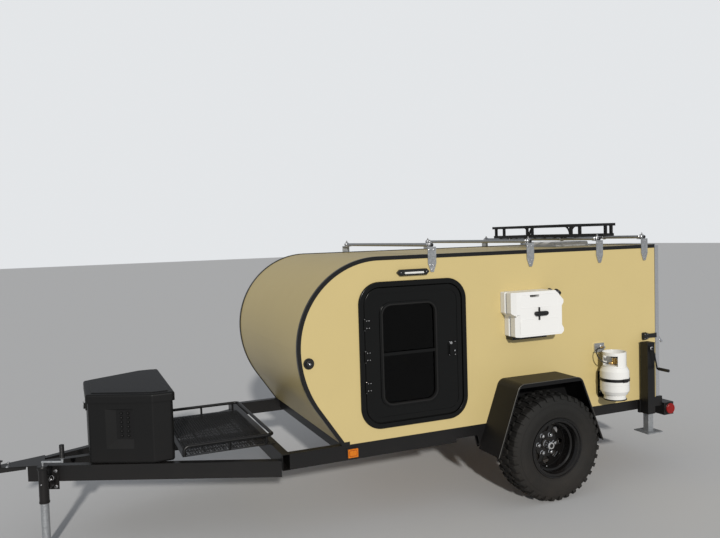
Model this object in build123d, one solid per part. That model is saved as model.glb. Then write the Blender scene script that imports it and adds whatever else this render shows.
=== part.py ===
"""Squareback teardrop camping trailer with off-road wheels, tongue box and roof rack.

Millimetres. +X points to the rear, the coupler is at -X, the left side is at -Y, +Z is up,
and the ground is z = 0. The origin is under the middle of the whole trailer.
Lengths called "ahead" are measured forwards from the rear face of the body.
"""
from build123d import *
import math
import os

os.makedirs("parts", exist_ok=True)

# body
BODY_REAR = 2390.0          # x of the body's rear face
BODY_WIDTH = 1562.0         # over the side walls
BODY_HEIGHT = 1219.0        # a side wall is cut from a 4 ft sheet
FLOOR_Z = 550.0             # bottom edge of the side walls, top of the frame
WALL = 19.0
ROOF_THICK = 25.0
NOSE_AHEAD = 2990.0
NOSE_RADIUS = 576.0         # upper front arc
CHIN_RADIUS = 718.0         # arc below the nose
CHIN_TURN = 34.2            # degrees that the lower arc turns
TOE_AHEAD = 2703.0          # front end of the wall's bottom edge
BOARD_AHEAD = 2655.0        # front end of the floor board
ROOF_Z = FLOOR_Z + BODY_HEIGHT
HALF_BODY = BODY_WIDTH / 2
INNER_HALF = HALF_BODY - WALL
NOSE_Z = ROOF_Z - NOSE_RADIUS
FLOOR_T = 25.0
SPAR_L = 60.0
SPAR_H = 50.0
TRIM_RISE = 6.0             # edge trim above the roof
TRIM_PROUD = 3.0            # edge trim outside the wall
TRIM_FACE = 20.0

# galley and bed
GALLEY_DEPTH = 640.0
COUNTER_Z = FLOOR_Z + 560.0
SHELF_Z = FLOOR_Z + 880.0
SHELF_REAR_AHEAD = 330.0
GALLEY_BOARD = 12.0
DIVIDER_Y = 260.0
MATTRESS_FRONT_AHEAD = 2590.0
MATTRESS_H = 110.0

# rear hatch
HATCH_GAP = 5.0
HATCH_THICK = 37.0
HATCH_EDGE = 22.0
HATCH_AXIS_X = 4.0          # behind the body
HATCH_AXIS_RISE = 7.0       # above the roof
HATCH_HINGE_HALF = 740.0
HATCH_HINGE_R = 4.5
HANDLE_Y = 752.0
HANDLE_Z = 1008.0
HANDLE_REACH = 38.0
LATCH_STRAP_Z = 1052.0

# frame and tongue
RAIL_W = 51.0
RAIL_H = 76.0
TUBE_WALL = 3.2
FRAME_TOP = FLOOR_Z - 0.4
FRAME_BOTTOM = FRAME_TOP - RAIL_H
PLATFORM_AHEAD = 3115.0     # front face of the front crossmember
FRONT_BEAM_BOTTOM = 448.0
DOUBLER_REAR_AHEAD = 1850.0
CROSS_AHEAD = (2660.0, 2050.0, 1560.0, 850.0, 320.0, 26.0)
TONGUE_TOP = 505.0
TONGUE_H = 102.0
TONGUE_TURN = 25.0          # each tongue rail's angle from the centre line
TONGUE_HALF = 760.0         # outer face of a tongue rail at the platform
TONGUE_TIP_AHEAD = 4600.0
CENTRE_TIP_AHEAD = 4530.0

# coupler
PLATE_REAR_AHEAD = 4500.0
PLATE_FRONT_AHEAD = 4780.0
FLANGE_REAR_AHEAD = 4540.0
COUPLER_T = 5.0
COUPLER_LIP = 60.0
NECK_W = 62.0
BALL_AHEAD = 4922.0
BALL_Z = 473.0
DOME_R = 38.0
SKIRT = 22.0
SOCKET_R = 26.2
LEVER_W = 24.0

# mesh deck behind the tongue box
DECK_FRONT_AHEAD = 3690.0
DECK_REAR_AHEAD = 3085.0
DECK_HALF = 520.0
DECK_ANGLE = 30.0
DECK_T = 4.0
DECK_RISE = 70.0
DECK_BAR = 22.0
DECK_BEND = 34.0
MESH_T = 3.0
MESH_ROWS = 14
MESH_COLUMNS = 9
MESH_GAP = 8.0

# tongue box
BOX_FRONT_AHEAD = 4228.0
BOX_MID_AHEAD = 3853.0
BOX_REAR_AHEAD = 3723.0
BOX_TIP_HALF = 244.0
BOX_HALF = 434.0
BOX_CORNER = 22.0
BOX_Z = TONGUE_TOP + 8
BOX_RIM_Z = 903.0
BOX_WALL = 5.0
BOX_BOTTOM_ROUND = 16.0
LID_GAP = 1.0
LID_H = 55.0
LID_GROW = 12.0
LID_STEP_IN = 34.0
LID_STEP_H = 6.0
LID_HINGE_R = 5.0
# hand pocket in each slanted side, as (along the side, z), and its floor
POCKET = ((112.0, 608.0), (292.0, 862.0))
POCKET_FLOOR = ((172.0, 662.0), (284.0, 856.0))
POCKET_DEPTH = 24.0

# tongue jack
JACK_AHEAD = 4470.0
JACK_PIVOT_Z = 403.0
JACK_OFFSET = 84.0
JACK_TUBE_R = 30.0
JACK_LEG_R = 25.4
JACK_ABOVE = 115.0
JACK_BELOW = 107.0
JACK_LEG_TOP = 20.0
JACK_FOOT_L = 210.0
JACK_FOOT_W = 130.0
JACK_FOOT_T = 6.0
JACK_CAP_H = 14.0
SWIVEL_R = 38.0
CRANK_ARM = 126.0
CRANK_R = 7.0
CRANK_GRIP_R = 14.0

# doors
DOOR_REAR_AHEAD = 1753.0
DOOR_FRAME_L = 815.0
DOOR_FRAME_H = 983.0
DOOR_FRAME_Z = 624.0
DOOR_FRAME_RADIUS = 150.0
DOOR_STEP = 35.0            # width of the frame's flange
DOOR_GAP = 5.0
DOOR_THICK = 30.0
LINER = 4.0
FLANGE_T = 14.0
LEAF_PROUD = 9.0
LEAF_BORDER = 42.0
LEAF_SINK = 3.0
HINGE_Y = HALF_BODY + 22.0
HINGE_R = 5.0
HINGE_H = 72.0
HINGE_Z = (915.0, 1118.0, 1330.0)
WINDOW_L = 409.0
WINDOW_H = 674.0
WINDOW_Z = 778.0
WINDOW_REAR_AHEAD = 1996.0
WINDOW_RADIUS = 70.0
WINDOW_RIM = 16.0
RIM_RISE = 6.0
WINDOW_BAR_Z = 1120.0
WINDOW_BAR_H = 20.0
PANE_T = 5.0
PANE_IN = 16.0
LATCH_AHEAD = 1872.0
LATCH_Z = 1118.0

# small fittings
PORCH_AHEAD = 2163.0
PORCH_Z = 1660.0
PORCH_L = 243.0
PORCH_H = 41.0
PORCH_T = 25.0
LENS_L = 150.0
LENS_H = 17.0
DOOR_STOP_AHEAD = 2921.0
DOOR_STOP_Z = 1111.0
MARKER_AHEAD = 2639.0

# fenders, whose side view corners are (ahead, z)
FENDER_CORNERS = ((1708.0, 273.0), (1487.0, 860.0), (954.0, 860.0), (722.0, 273.0))
FENDER_RADIUS = 62.0
FENDER_T = 3.0
FENDER_OUT = 1030.0
FENDER_LOW = 376.0
FENDER_LIP = 12.0
FENDER_LIP_Z = 832.0

# axle and springs
AXLE_AHEAD = 1192.0
AXLE_Z = 380.0
AXLE_END = 790.0
AXLE_R = 30.0
SPINDLE_END = 930.0
SPINDLE_R = 19.0
SPRING_Y = 750.0
SPRING_W = 45.0
SPRING_HALF = 437.0
SEAT_HALF = 45.0
EYE_Z = 396.0
EYE_R = 17.0
LEAF_T = 8.0
LEAF_HALVES = (437.0, 350.0, 260.0, 165.0)
HANGER_W = 6.0
CLAMP_T = 10.0
CLAMP_R = 6.0
CLAMP_X = 38.0
CLAMP_Y = 28.0

# wheels
TYRE_R = 380.0
TYRE_MID = 942.0            # y of the tyre's middle plane
TREAD_BASE_R = 367.0
LUG_COUNT = 36
# tyre wall from the bead outwards, as (y from the middle plane, radius)
BEAD = (99.6, 191.4)
FLANGE_EDGE = (99.6, 212.0)
BULGE = (122.0, 266.0)
SHOULDER = (112.0, 340.0)
TREAD_EDGE = (96.0, 364.0)
GROOVE_OUT = (50.0, TREAD_BASE_R)
GROOVE_IN = (42.0, TREAD_BASE_R)
# outer corners of a long and a short shoulder lug, in the same terms
LUG_LONG = ((121.0, 343.0), (104.0, 375.0), (50.0, TYRE_R))
LUG_SHORT = ((117.0, 350.0), (102.0, 376.0), (50.0, TYRE_R))
BEAD_Y = 100.0
BEAD_R = 190.5
RIM_R = 210.0
DISC_Y = -33.0              # inner face of the disc, outwards from the middle plane
DISC_T = 6.0
DISC_R = 166.0
DISC_HOLE_R = 27.0
DISC_HOLE_RING = 118.0
NUT_RING = 69.85
DRUM_R = 128.0
DRUM_BACK = -110.0
DRUM_FRONT = -46.0
CAP_END = 41.0              # end of the hub cap, outwards from the middle plane
CAP_R = 27.0

# roof gear
BAR_AHEAD = (2012.0, 1198.0, 558.0, 109.0)
BAR_R = 12.7
BAR_WALL = 2.0
BAR_HALF = HALF_BODY + 7.5
BAR_Z = 1838.0
STRAP_W = 64.0
STRAP_T = 5.0
STRAP_Z = 1654.0
STRAP_POINT = 58.0
BASKET_FRONT_AHEAD = 624.0
BASKET_REAR_AHEAD = 176.0
BASKET_HALF = 531.0
BASKET_TUBE = 22.0
BASKET_FLARE = 16.0         # top rail beyond the floor frame at the front and rear
BASKET_TOP = 1956.0
BASKET_SLATS = 7
BASKET_POST = 20.0
BASKET_POST_AHEAD = (604.0, 517.0, 255.0, 196.0)
BRACE_T = 14.0
BRACE_W = 10.0
BRACE_R = 78.0
VENT_FRONT_AHEAD = 522.0
VENT_L = 407.0

# water packs, whose side view corners are (ahead, z)
PACK_T = 74.0
PACK_GAP = 2.0
PACK_CORNERS = (
    (1430.0, 1166.0), (1046.0, 1166.0), (1026.0, 1184.0), (1026.0, 1206.0), (1042.0, 1232.0),
    (1042.0, 1370.0), (1026.0, 1392.0), (1026.0, 1412.0), (1096.0, 1484.0), (1462.0, 1484.0),
    (1462.0, 1336.0), (1430.0, 1312.0),
)
PACK_CORNER_R = 9.0
PACK_BEVEL_X = 30.0
PACK_BEVEL_Y = 26.0
PACK_LOCK_AHEAD = 1228.0
PACK_LOCK_Z = 1327.0

# route of the gas hose from the plate on the wall to the bottle's valve, as (ahead, y, z)
HOSE = ((567.0, -812.0, 1006.0), (615.0, -812.0, 1006.0), (650.0, -838.0, 973.0),
        (650.0, -871.0, 931.0), (615.0, -897.0, 898.0), (567.0, -897.0, 898.0))
HOSE_D = 9.0
NOZZLE_R = 7.0
PLUG_SIDE = 14.0

# gas bottle
BOTTLE_AHEAD = 528.0
BOTTLE_Y = 897.0
BOTTLE_Z = 629.0
BOTTLE_R = 106.0
COLLAR_R = 86.0
COLLAR_LOW = 233.0
COLLAR_TOP = 353.0
# half section of the bottle as (radius, z above its foot)
BOTTLE_SECTION = ((0, 22), (60, 22), (90, 34), (106, 62), (106, 212), (92, 240), (60, 254), (0, 258))

# rear jacks
REAR_JACK_AHEAD = 140.0
REAR_JACK_Y = 840.0
REAR_TUBE = 73.0
REAR_LEG = 51.0
REAR_TUBE_TOP = 1003.0
REAR_TUBE_LOW = 450.0
REAR_FOOT_Z = 305.0
REAR_FOOT_HALF = 75.0
REAR_CRANK_DROP = 160.0

# rear beam and lamps
BUMPER_GAP = 70.0
BEAM = 100.0
BEAM_HALF = 800.0
BEAM_Z = 396.0
TAIL_Y = 620.0
TAIL_R = 46.0
SIDE_LAMP_R = 43.0


def at(ahead):
    """x of a place that lies this far ahead of the body's rear face."""
    return BODY_REAR - ahead


def block(x0, x1, y0, y1, z0, z1):
    size = (abs(x1 - x0), abs(y1 - y0), abs(z1 - z0))
    return Pos((x0 + x1) / 2, (y0 + y1) / 2, (z0 + z1) / 2) * Box(*size)


def rod(start, end, radius):
    """A round bar between two points."""
    axis = Vector(*end) - Vector(*start)
    plane = Plane(origin=start, z_dir=axis)
    return extrude(plane * Circle(radius), amount=axis.length)


def square_tube(x0, x1, y0, y1, z0, z1, along):
    """A hollow tube along x or y, open at its ends."""
    outer = block(x0, x1, y0, y1, z0, z1)
    t = TUBE_WALL
    if along == "x":
        return outer - block(x0 - 1, x1 + 1, y0 + t, y1 - t, z0 + t, z1 - t)
    return outer - block(x0 + t, x1 - t, y0 - 1, y1 + 1, z0 + t, z1 - t)


def side_plate(sketch, y_inner, y_outer):
    """A sketch of the side view, drawn as (x, z), made solid on the left side."""
    plane = Plane(origin=(0, -y_inner, 0), x_dir=(1, 0, 0), z_dir=(0, -1, 0))
    return extrude(plane * sketch, amount=y_outer - y_inner)


def polygon(*corners):
    return make_face(Polyline(*corners, close=True))


def rounded(length, height, radius, x_mid, z_mid):
    return Pos(x_mid, z_mid) * RectangleRounded(length, height, radius)


def ring_of(plane, radius, count, sketch, amount):
    """Equal round or six-sided bosses on a circle, as one solid each."""
    solids = []
    for index in range(count):
        turn = 2 * math.pi * index / count
        spot = plane * Pos(radius * math.cos(turn), radius * math.sin(turn))
        solids.append(extrude(spot * sketch, amount=amount))
    return solids


def outer_face(shape):
    """The face of a left-hand plate that looks away from the body."""
    return shape.faces().filter_by(Axis.Y).sort_by(Axis.Y)[0]


def both_sides(left):
    return [left, mirror(left, about=Plane.XZ)]


def save(name, *solids):
    shape = solids[0] if len(solids) == 1 else Compound(children=list(solids))
    export_step(shape, f"parts/{name}.step")


def body_outline():
    """Side view of the body: square back, round front and a tucked-in chin."""
    turn = math.radians(CHIN_TURN)
    nose = (at(NOSE_AHEAD), NOSE_Z)
    roof_front = (at(NOSE_AHEAD) + NOSE_RADIUS, ROOF_Z)
    chin = (nose[0] + CHIN_RADIUS * (1 - math.cos(turn)), NOSE_Z - CHIN_RADIUS * math.sin(turn))
    toe = (at(TOE_AHEAD), FLOOR_Z)
    heel = (BODY_REAR, FLOOR_Z)
    roof_rear = (BODY_REAR, ROOF_Z)
    edges = [
        Line(heel, roof_rear),
        Line(roof_rear, roof_front),
        RadiusArc(roof_front, nose, -NOSE_RADIUS),
        RadiusArc(nose, chin, -CHIN_RADIUS),
        Line(chin, toe),
        Line(toe, heel),
    ]
    return make_face(Curve() + edges)


OUTLINE = body_outline()
DOOR_X = at(DOOR_REAR_AHEAD) - DOOR_FRAME_L / 2
DOOR_Z = DOOR_FRAME_Z + DOOR_FRAME_H / 2
OPENING_L = DOOR_FRAME_L - 2 * DOOR_STEP
OPENING_H = DOOR_FRAME_H - 2 * DOOR_STEP
OPENING_RADIUS = DOOR_FRAME_RADIUS - DOOR_STEP


def door_shape(grow):
    """The door opening's outline, grown or shrunk all round."""
    return rounded(OPENING_L + 2 * grow, OPENING_H + 2 * grow, OPENING_RADIUS + grow, DOOR_X, DOOR_Z)


def make_frame():
    rail_front = at(PLATFORM_AHEAD - RAIL_W)
    rail_rear = BODY_REAR + BUMPER_GAP
    rail = square_tube(rail_front, rail_rear, -HALF_BODY, -HALF_BODY + RAIL_W,
                       FRAME_BOTTOM, FRAME_TOP, "x")
    doubler = block(rail_front, at(DOUBLER_REAR_AHEAD), -HALF_BODY, -HALF_BODY + RAIL_W,
                    FRONT_BEAM_BOTTOM, FRAME_BOTTOM)
    save("side_rails", *both_sides(rail + doubler))

    beams = [square_tube(at(PLATFORM_AHEAD), rail_front, -HALF_BODY, HALF_BODY,
                         FRONT_BEAM_BOTTOM, FRAME_TOP, "y")]
    inner = HALF_BODY - RAIL_W
    for ahead in CROSS_AHEAD:
        beams.append(square_tube(at(ahead) - RAIL_W / 2, at(ahead) + RAIL_W / 2,
                                 -inner, inner, FRAME_BOTTOM, FRAME_TOP, "y"))
    save("crossmembers", *beams)


def tongue_half(ahead):
    """Half width over the tongue rails at a station."""
    return TONGUE_HALF - math.tan(math.radians(TONGUE_TURN)) * (ahead - PLATFORM_AHEAD)


def make_tongue():
    width = RAIL_W / math.cos(math.radians(TONGUE_TURN))
    rear, front = PLATFORM_AHEAD, TONGUE_TIP_AHEAD

    def rail_plan(inset):
        return polygon((at(rear), -tongue_half(rear) + inset),
                       (at(front), -tongue_half(front) + inset),
                       (at(front), -tongue_half(front) + width - inset),
                       (at(rear), -tongue_half(rear) + width - inset))

    floor = TONGUE_TOP - TONGUE_H
    skin = TUBE_WALL / math.cos(math.radians(TONGUE_TURN))
    outer = extrude(Plane.XY.offset(floor) * rail_plan(0), amount=TONGUE_H)
    hollow = extrude(Plane.XY.offset(floor + TUBE_WALL) * rail_plan(skin),
                     amount=TONGUE_H - 2 * TUBE_WALL)
    centre = square_tube(at(CENTRE_TIP_AHEAD), at(PLATFORM_AHEAD), -RAIL_W / 2, RAIL_W / 2,
                         TONGUE_TOP - RAIL_W, TONGUE_TOP, "x")
    save("tongue_rails", *both_sides(outer - hollow), centre)


def make_coupler():
    """Ball coupler on a plate between the tongue rails, with flanges down their sides."""
    rear, front, tip = PLATE_REAR_AHEAD, PLATE_FRONT_AHEAD, TONGUE_TIP_AHEAD
    top = TONGUE_TOP + COUPLER_T
    plan = polygon((at(rear), -tongue_half(rear) - COUPLER_T), (at(front), -NECK_W / 2),
                   (at(front), NECK_W / 2), (at(rear), tongue_half(rear) + COUPLER_T))
    plate = extrude(Plane.XY.offset(TONGUE_TOP) * plan, amount=COUPLER_T)
    a = FLANGE_REAR_AHEAD
    flange_plan = polygon((at(a), -tongue_half(a) - COUPLER_T), (at(tip), -tongue_half(tip) - COUPLER_T),
                          (at(tip), -tongue_half(tip)), (at(a), -tongue_half(a)))
    flange = extrude(Plane.XY.offset(TONGUE_TOP - COUPLER_LIP) * flange_plan, amount=COUPLER_LIP)
    ball_x = at(BALL_AHEAD)
    neck = block(ball_x, at(tip + 12), -NECK_W / 2, NECK_W / 2, BALL_Z, top)
    dome = Pos(ball_x, 0, BALL_Z) * Sphere(DOME_R)
    dome = dome & block(ball_x - DOME_R, ball_x + DOME_R, -DOME_R, DOME_R,
                        BALL_Z - SKIRT, BALL_Z + DOME_R)
    skirt = Pos(ball_x, 0, BALL_Z - SKIRT / 2) * Cylinder(DOME_R, SKIRT)
    socket = Pos(ball_x, 0, BALL_Z) * Sphere(SOCKET_R)
    mouth = Pos(ball_x, 0, BALL_Z - SKIRT) * Cylinder(SOCKET_R, 2 * SKIRT)
    lever = block(ball_x + 30, ball_x + 165, -LEVER_W / 2, LEVER_W / 2, top, top + 14)
    grip = block(ball_x + 120, ball_x + 165, -LEVER_W, LEVER_W, top + 8, top + 20)
    body = plate + flange + mirror(flange, about=Plane.XZ) + neck + dome + skirt - socket - mouth
    save("coupler", body + lever + grip)


def make_deck():
    """Mesh floor behind the tongue box in an angle frame, with a low rail round it."""
    front, rear = at(DECK_FRONT_AHEAD), at(DECK_REAR_AHEAD)
    top = FRAME_TOP + DECK_T
    edge = DECK_ANGLE
    frame = block(front, rear, -DECK_HALF, DECK_HALF, FRAME_TOP, top)
    frame -= block(front + edge, rear - edge, -DECK_HALF + edge, DECK_HALF - edge,
                   FRAME_TOP - 1, top + 1)
    pitch_x = (rear - front - 2 * edge) / MESH_COLUMNS
    pitch_y = 2 * (DECK_HALF - edge) / MESH_ROWS
    mesh = Rectangle(rear - front - 2 * edge + 4, 2 * (DECK_HALF - edge) + 4)
    for column in range(MESH_COLUMNS):
        for row in range(MESH_ROWS):
            x = (column - (MESH_COLUMNS - 1) / 2) * pitch_x
            y = (row - (MESH_ROWS - 1) / 2) * pitch_y
            mesh -= Pos(x, y) * Rectangle(pitch_x - MESH_GAP, pitch_y - MESH_GAP)
    floor = Plane(origin=((front + rear) / 2, 0, FRAME_TOP + 0.5)) * mesh
    frame += extrude(floor, amount=MESH_T)
    r = DECK_BAR / 2
    y = DECK_HALF - r
    rail_z = top + DECK_RISE - r
    route = FilletPolyline((front + r, -y, top - 2), (front + r, -y, rail_z), (rear - r, -y, rail_z),
                           (rear - r, y, rail_z), (front + r, y, rail_z), (front + r, y, top - 2),
                           radius=DECK_BEND)
    start = Plane(origin=(front + r, -y, top - 2), z_dir=(0, 0, 1))
    frame += sweep(start * Circle(r), path=route)
    for sign in (-1, 1):
        for x in ((front + rear) / 2, rear - DECK_BEND - 2 * r):
            frame += rod((x, sign * y, top - 2), (x, sign * y, rail_z), r - 3)
    save("front_deck", frame)


def box_plan(grow):
    """Plan of the tongue box: a trapezoid whose front corners are cut back."""
    front, mid, rear = at(BOX_FRONT_AHEAD) - grow, at(BOX_MID_AHEAD), at(BOX_REAR_AHEAD) + grow
    tip, wide = BOX_TIP_HALF + grow * 0.6, BOX_HALF + grow
    shape = polygon((front, -tip), (mid, -wide), (rear, -wide), (rear, wide), (mid, wide),
                    (front, tip))
    return fillet(shape.vertices(), BOX_CORNER)


def box_pocket(grow):
    """Tapered hand pocket in the left slanted side of the box, grown for its wall."""
    start = Vector(at(BOX_FRONT_AHEAD), -BOX_TIP_HALF, 0)
    along = (Vector(at(BOX_MID_AHEAD), -BOX_HALF, 0) - start).normalized()
    inward = Vector(-along.Y, along.X, 0)

    def opening(corners, depth):
        (a0, z0), (a1, z1) = corners
        middle = start + along * ((a0 + a1) / 2) + inward * depth + Vector(0, 0, (z0 + z1) / 2)
        plane = Plane(origin=middle, x_dir=along, z_dir=inward)
        return plane * Rectangle(a1 - a0 + 2 * grow, z1 - z0 + 2 * grow)

    return loft([opening(POCKET, -0.01), opening(POCKET_FLOOR, POCKET_DEPTH + grow)])


def make_tongue_box():
    outer = extrude(Plane.XY.offset(BOX_Z) * box_plan(0), amount=BOX_RIM_Z - BOX_Z)
    outer = fillet(outer.faces().sort_by(Axis.Z)[0].edges(), BOX_BOTTOM_ROUND)
    inner = extrude(Plane.XY.offset(BOX_Z + BOX_WALL) * box_plan(-BOX_WALL),
                    amount=BOX_RIM_Z - BOX_Z)
    for part in both_sides(box_pocket(0)):
        outer -= part
    for part in both_sides(box_pocket(BOX_WALL)):
        inner -= part
    tub = outer - inner
    tub += block(at(4100), at(3760), -25, 25, TONGUE_TOP, BOX_Z + 1)
    x = at(BOX_FRONT_AHEAD)
    tub += block(x - 10, x + 1, -32, 32, BOX_RIM_Z - 92, BOX_RIM_Z - 28)
    tub += block(x - 20, x - 9, -12, 12, BOX_RIM_Z - 84, BOX_RIM_Z - 48)
    save("tongue_box", tub)

    lid_z = BOX_RIM_Z + LID_GAP
    shell = extrude(Plane.XY.offset(lid_z) * box_plan(LID_GROW), amount=LID_H)
    shell = fillet(shell.faces().sort_by(Axis.Z)[-1].edges(), 14)
    step = extrude(Plane.XY.offset(lid_z + LID_H - 1) * box_plan(LID_GROW - LID_STEP_IN),
                   amount=LID_STEP_H + 1)
    step = chamfer(step.faces().sort_by(Axis.Z)[-1].edges(), LID_STEP_H - 1)
    hollow = extrude(Plane.XY.offset(lid_z - 1) * box_plan(LID_GROW - BOX_WALL),
                     amount=LID_H - BOX_WALL + 1)
    axis_x = at(BOX_REAR_AHEAD) + LID_GROW + 2
    axis_z = BOX_RIM_Z - 1
    barrel = rod((axis_x, -BOX_HALF + 60, axis_z), (axis_x, BOX_HALF - 60, axis_z), LID_HINGE_R)
    save("tongue_box_lid", shell + step - hollow + barrel)


def make_tongue_jack():
    turn = math.radians(TONGUE_TURN)
    along = Vector(math.cos(turn), -math.sin(turn), 0)
    out = Vector(-math.sin(turn), -math.cos(turn), 0)
    rail = Vector(at(JACK_AHEAD), -tongue_half(JACK_AHEAD), JACK_PIVOT_Z)
    centre = rail + out * JACK_OFFSET

    def local(a, o, z):
        return centre + along * a + out * o + Vector(0, 0, z)

    def bar(start, end, radius):
        return rod(tuple(local(*start)), tuple(local(*end)), radius)

    def plate(a0, a1, o0, o1, z0, z1):
        base = local((a0 + a1) / 2, (o0 + o1) / 2, (z0 + z1) / 2)
        frame = Plane(origin=base, x_dir=along, z_dir=(0, 0, 1))
        return frame * Box(a1 - a0, o1 - o0, z1 - z0)

    wall = -JACK_OFFSET
    inner = -JACK_TUBE_R - 8
    bracket = plate(-60, 60, wall, wall + 6, -50, 90)
    boss = bar((0, wall + 6, 0), (0, inner - 0.3, 0), SWIVEL_R)
    save("jack_bracket", bracket + boss)

    tube = bar((0, 0, -JACK_BELOW), (0, 0, JACK_ABOVE), JACK_TUBE_R)
    bore = bar((0, 0, -JACK_BELOW - 1), (0, 0, JACK_ABOVE - 20), JACK_LEG_R + 0.6)
    swivel = bar((0, inner, 0), (0, inner + 16, 0), SWIVEL_R)
    cap = bar((0, 0, JACK_ABOVE), (0, 0, JACK_ABOVE + JACK_CAP_H), JACK_TUBE_R + 3)
    save("jack_tube", tube + swivel + cap - bore)

    top = JACK_ABOVE + JACK_CAP_H
    arm_z = top + 24
    crank = bar((0, 0, top), (0, 0, arm_z), CRANK_R)
    crank += bar((-6, 0, arm_z), (CRANK_ARM, 0, arm_z), CRANK_R)
    crank += bar((CRANK_ARM, 0, arm_z - 4), (CRANK_ARM, 0, arm_z + 106), CRANK_R + 1)
    crank += bar((CRANK_ARM, 0, arm_z + 21), (CRANK_ARM, 0, arm_z + 106), CRANK_GRIP_R)
    save("jack_crank", crank)

    foot_z = -JACK_PIVOT_Z
    leg = bar((0, 0, foot_z + JACK_FOOT_T), (0, 0, JACK_LEG_TOP), JACK_LEG_R)
    leg += plate(-JACK_FOOT_L / 2, JACK_FOOT_L / 2, -JACK_FOOT_W / 2, JACK_FOOT_W / 2,
                 foot_z, foot_z + JACK_FOOT_T)
    save("jack_leg", leg)


def make_body():
    wall = side_plate(OUTLINE, INNER_HALF, HALF_BODY)
    wall -= side_plate(door_shape(LINER), INNER_HALF - 1, HALF_BODY + 1)
    save("side_wall_left", wall)
    save("side_wall_right", mirror(wall, about=Plane.XZ))

    band = OUTLINE - offset(OUTLINE, -ROOF_THICK, kind=Kind.INTERSECTION)
    low = Pos((at(BOARD_AHEAD) + BODY_REAR + 50) / 2, FLOOR_Z) * Rectangle(BOARD_AHEAD + 50, 200)
    rear_side = Pos(BODY_REAR, FLOOR_Z) * Rectangle(60, 2 * (BODY_HEIGHT - ROOF_THICK))
    shell = side_plate(band - low - rear_side, -INNER_HALF, INNER_HALF)
    ceiling = ROOF_Z - ROOF_THICK
    spar = block(BODY_REAR - SPAR_L, BODY_REAR, -INNER_HALF, INNER_HALF, ceiling - SPAR_H, ceiling)
    save("roof_and_front", shell + spar)
    save("floor", block(at(BOARD_AHEAD), BODY_REAR, -INNER_HALF, INNER_HALF,
                        FLOOR_Z, FLOOR_Z + FLOOR_T))

    under = Pos(at(TOE_AHEAD), FLOOR_Z - 50) * Rectangle(400, 100)
    behind = Pos(BODY_REAR + 50, ROOF_Z) * Rectangle(100, 200)
    wrap = offset(OUTLINE, TRIM_RISE, kind=Kind.INTERSECTION) - OUTLINE
    wrap = wrap - low - rear_side - under - behind
    face = OUTLINE - offset(OUTLINE, -TRIM_FACE, kind=Kind.INTERSECTION) - low
    face -= Pos(BODY_REAR, FLOOR_Z) * Rectangle(60, 2 * (BODY_HEIGHT - TRIM_FACE))
    trim = side_plate(wrap, HALF_BODY - TRIM_FACE, HALF_BODY + TRIM_PROUD)
    trim += side_plate(face, HALF_BODY, HALF_BODY + TRIM_PROUD)
    save("edge_trim", *both_sides(trim))


def make_galley():
    """Bulkhead, shelf and counter that show when the rear hatch is open."""
    z0 = FLOOR_Z + FLOOR_T
    bulk_x = at(GALLEY_DEPTH)
    bulk_rear = bulk_x + GALLEY_BOARD
    body = block(bulk_x, bulk_rear, -INNER_HALF, INNER_HALF, z0, ROOF_Z - ROOF_THICK)
    body += block(bulk_rear, at(70), -INNER_HALF, INNER_HALF, COUNTER_Z, COUNTER_Z + 18)
    body += block(bulk_rear, at(SHELF_REAR_AHEAD), -INNER_HALF, INNER_HALF,
                  SHELF_Z, SHELF_Z + GALLEY_BOARD)
    half = GALLEY_BOARD / 2
    for y in (-DIVIDER_Y, DIVIDER_Y):
        body += block(bulk_rear, at(80), y - half, y + half, z0, COUNTER_Z)
    save("galley", body)
    side = INNER_HALF - 6
    save("mattress", block(at(MATTRESS_FRONT_AHEAD), at(GALLEY_DEPTH + 10), -side, side,
                           z0, z0 + MATTRESS_H))


def make_hatch():
    x0, x1 = BODY_REAR + HATCH_GAP, BODY_REAR + HATCH_GAP + HATCH_THICK
    z0, z1 = FLOOR_Z + 6, ROOF_Z - 1
    half = HALF_BODY - 1
    edge = HATCH_EDGE
    save("hatch", block(x0, x1, -half + edge, half - edge, z0 + edge, z1 - edge))
    border = block(x0, x1, -half, half, z0, z1)
    border -= block(x0 - 1, x1 + 1, -half + edge, half - edge, z0 + edge, z1 - edge)
    axis_x, axis_z = BODY_REAR + HATCH_AXIS_X, ROOF_Z + HATCH_AXIS_RISE
    barrel = rod((axis_x, -HATCH_HINGE_HALF, axis_z), (axis_x, HATCH_HINGE_HALF, axis_z),
                 HATCH_HINGE_R)
    leaf = block(x0, x0 + 3, -HATCH_HINGE_HALF, HATCH_HINGE_HALF, z1 - 10, axis_z)
    save("hatch_edging", border + barrel + leaf)

    handles = []
    for y in (-HANDLE_Y, HANDLE_Y):
        tip = x1 + HANDLE_REACH
        base = block(x1, x1 + 5, y - 19, y + 19, HANDLE_Z - 32, HANDLE_Z + 32)
        base += rod((x1 + 5, y, HANDLE_Z), (tip, y, HANDLE_Z), 8)
        base += rod((tip, y - 20, HANDLE_Z - 20), (tip, y + 20, HANDLE_Z + 20), 7)
        handles.append(base)
    save("hatch_handles", *handles)

    y = -HALF_BODY
    z = LATCH_STRAP_Z
    latch = block(BODY_REAR - 139, BODY_REAR - 96, y - 26, y, z - 25, z + 25)
    latch += block(BODY_REAR - 97, BODY_REAR - 6, y - 17, y - 7, z - 16, z + 16)
    latch += block(BODY_REAR - 97, BODY_REAR - 40, y - 8, y, z - 12, z + 12)
    latch += rod((BODY_REAR - 6, y - 12, z - 18), (BODY_REAR - 6, y - 12, z + 18), 8)
    save("side_latches", *both_sides(latch))


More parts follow.
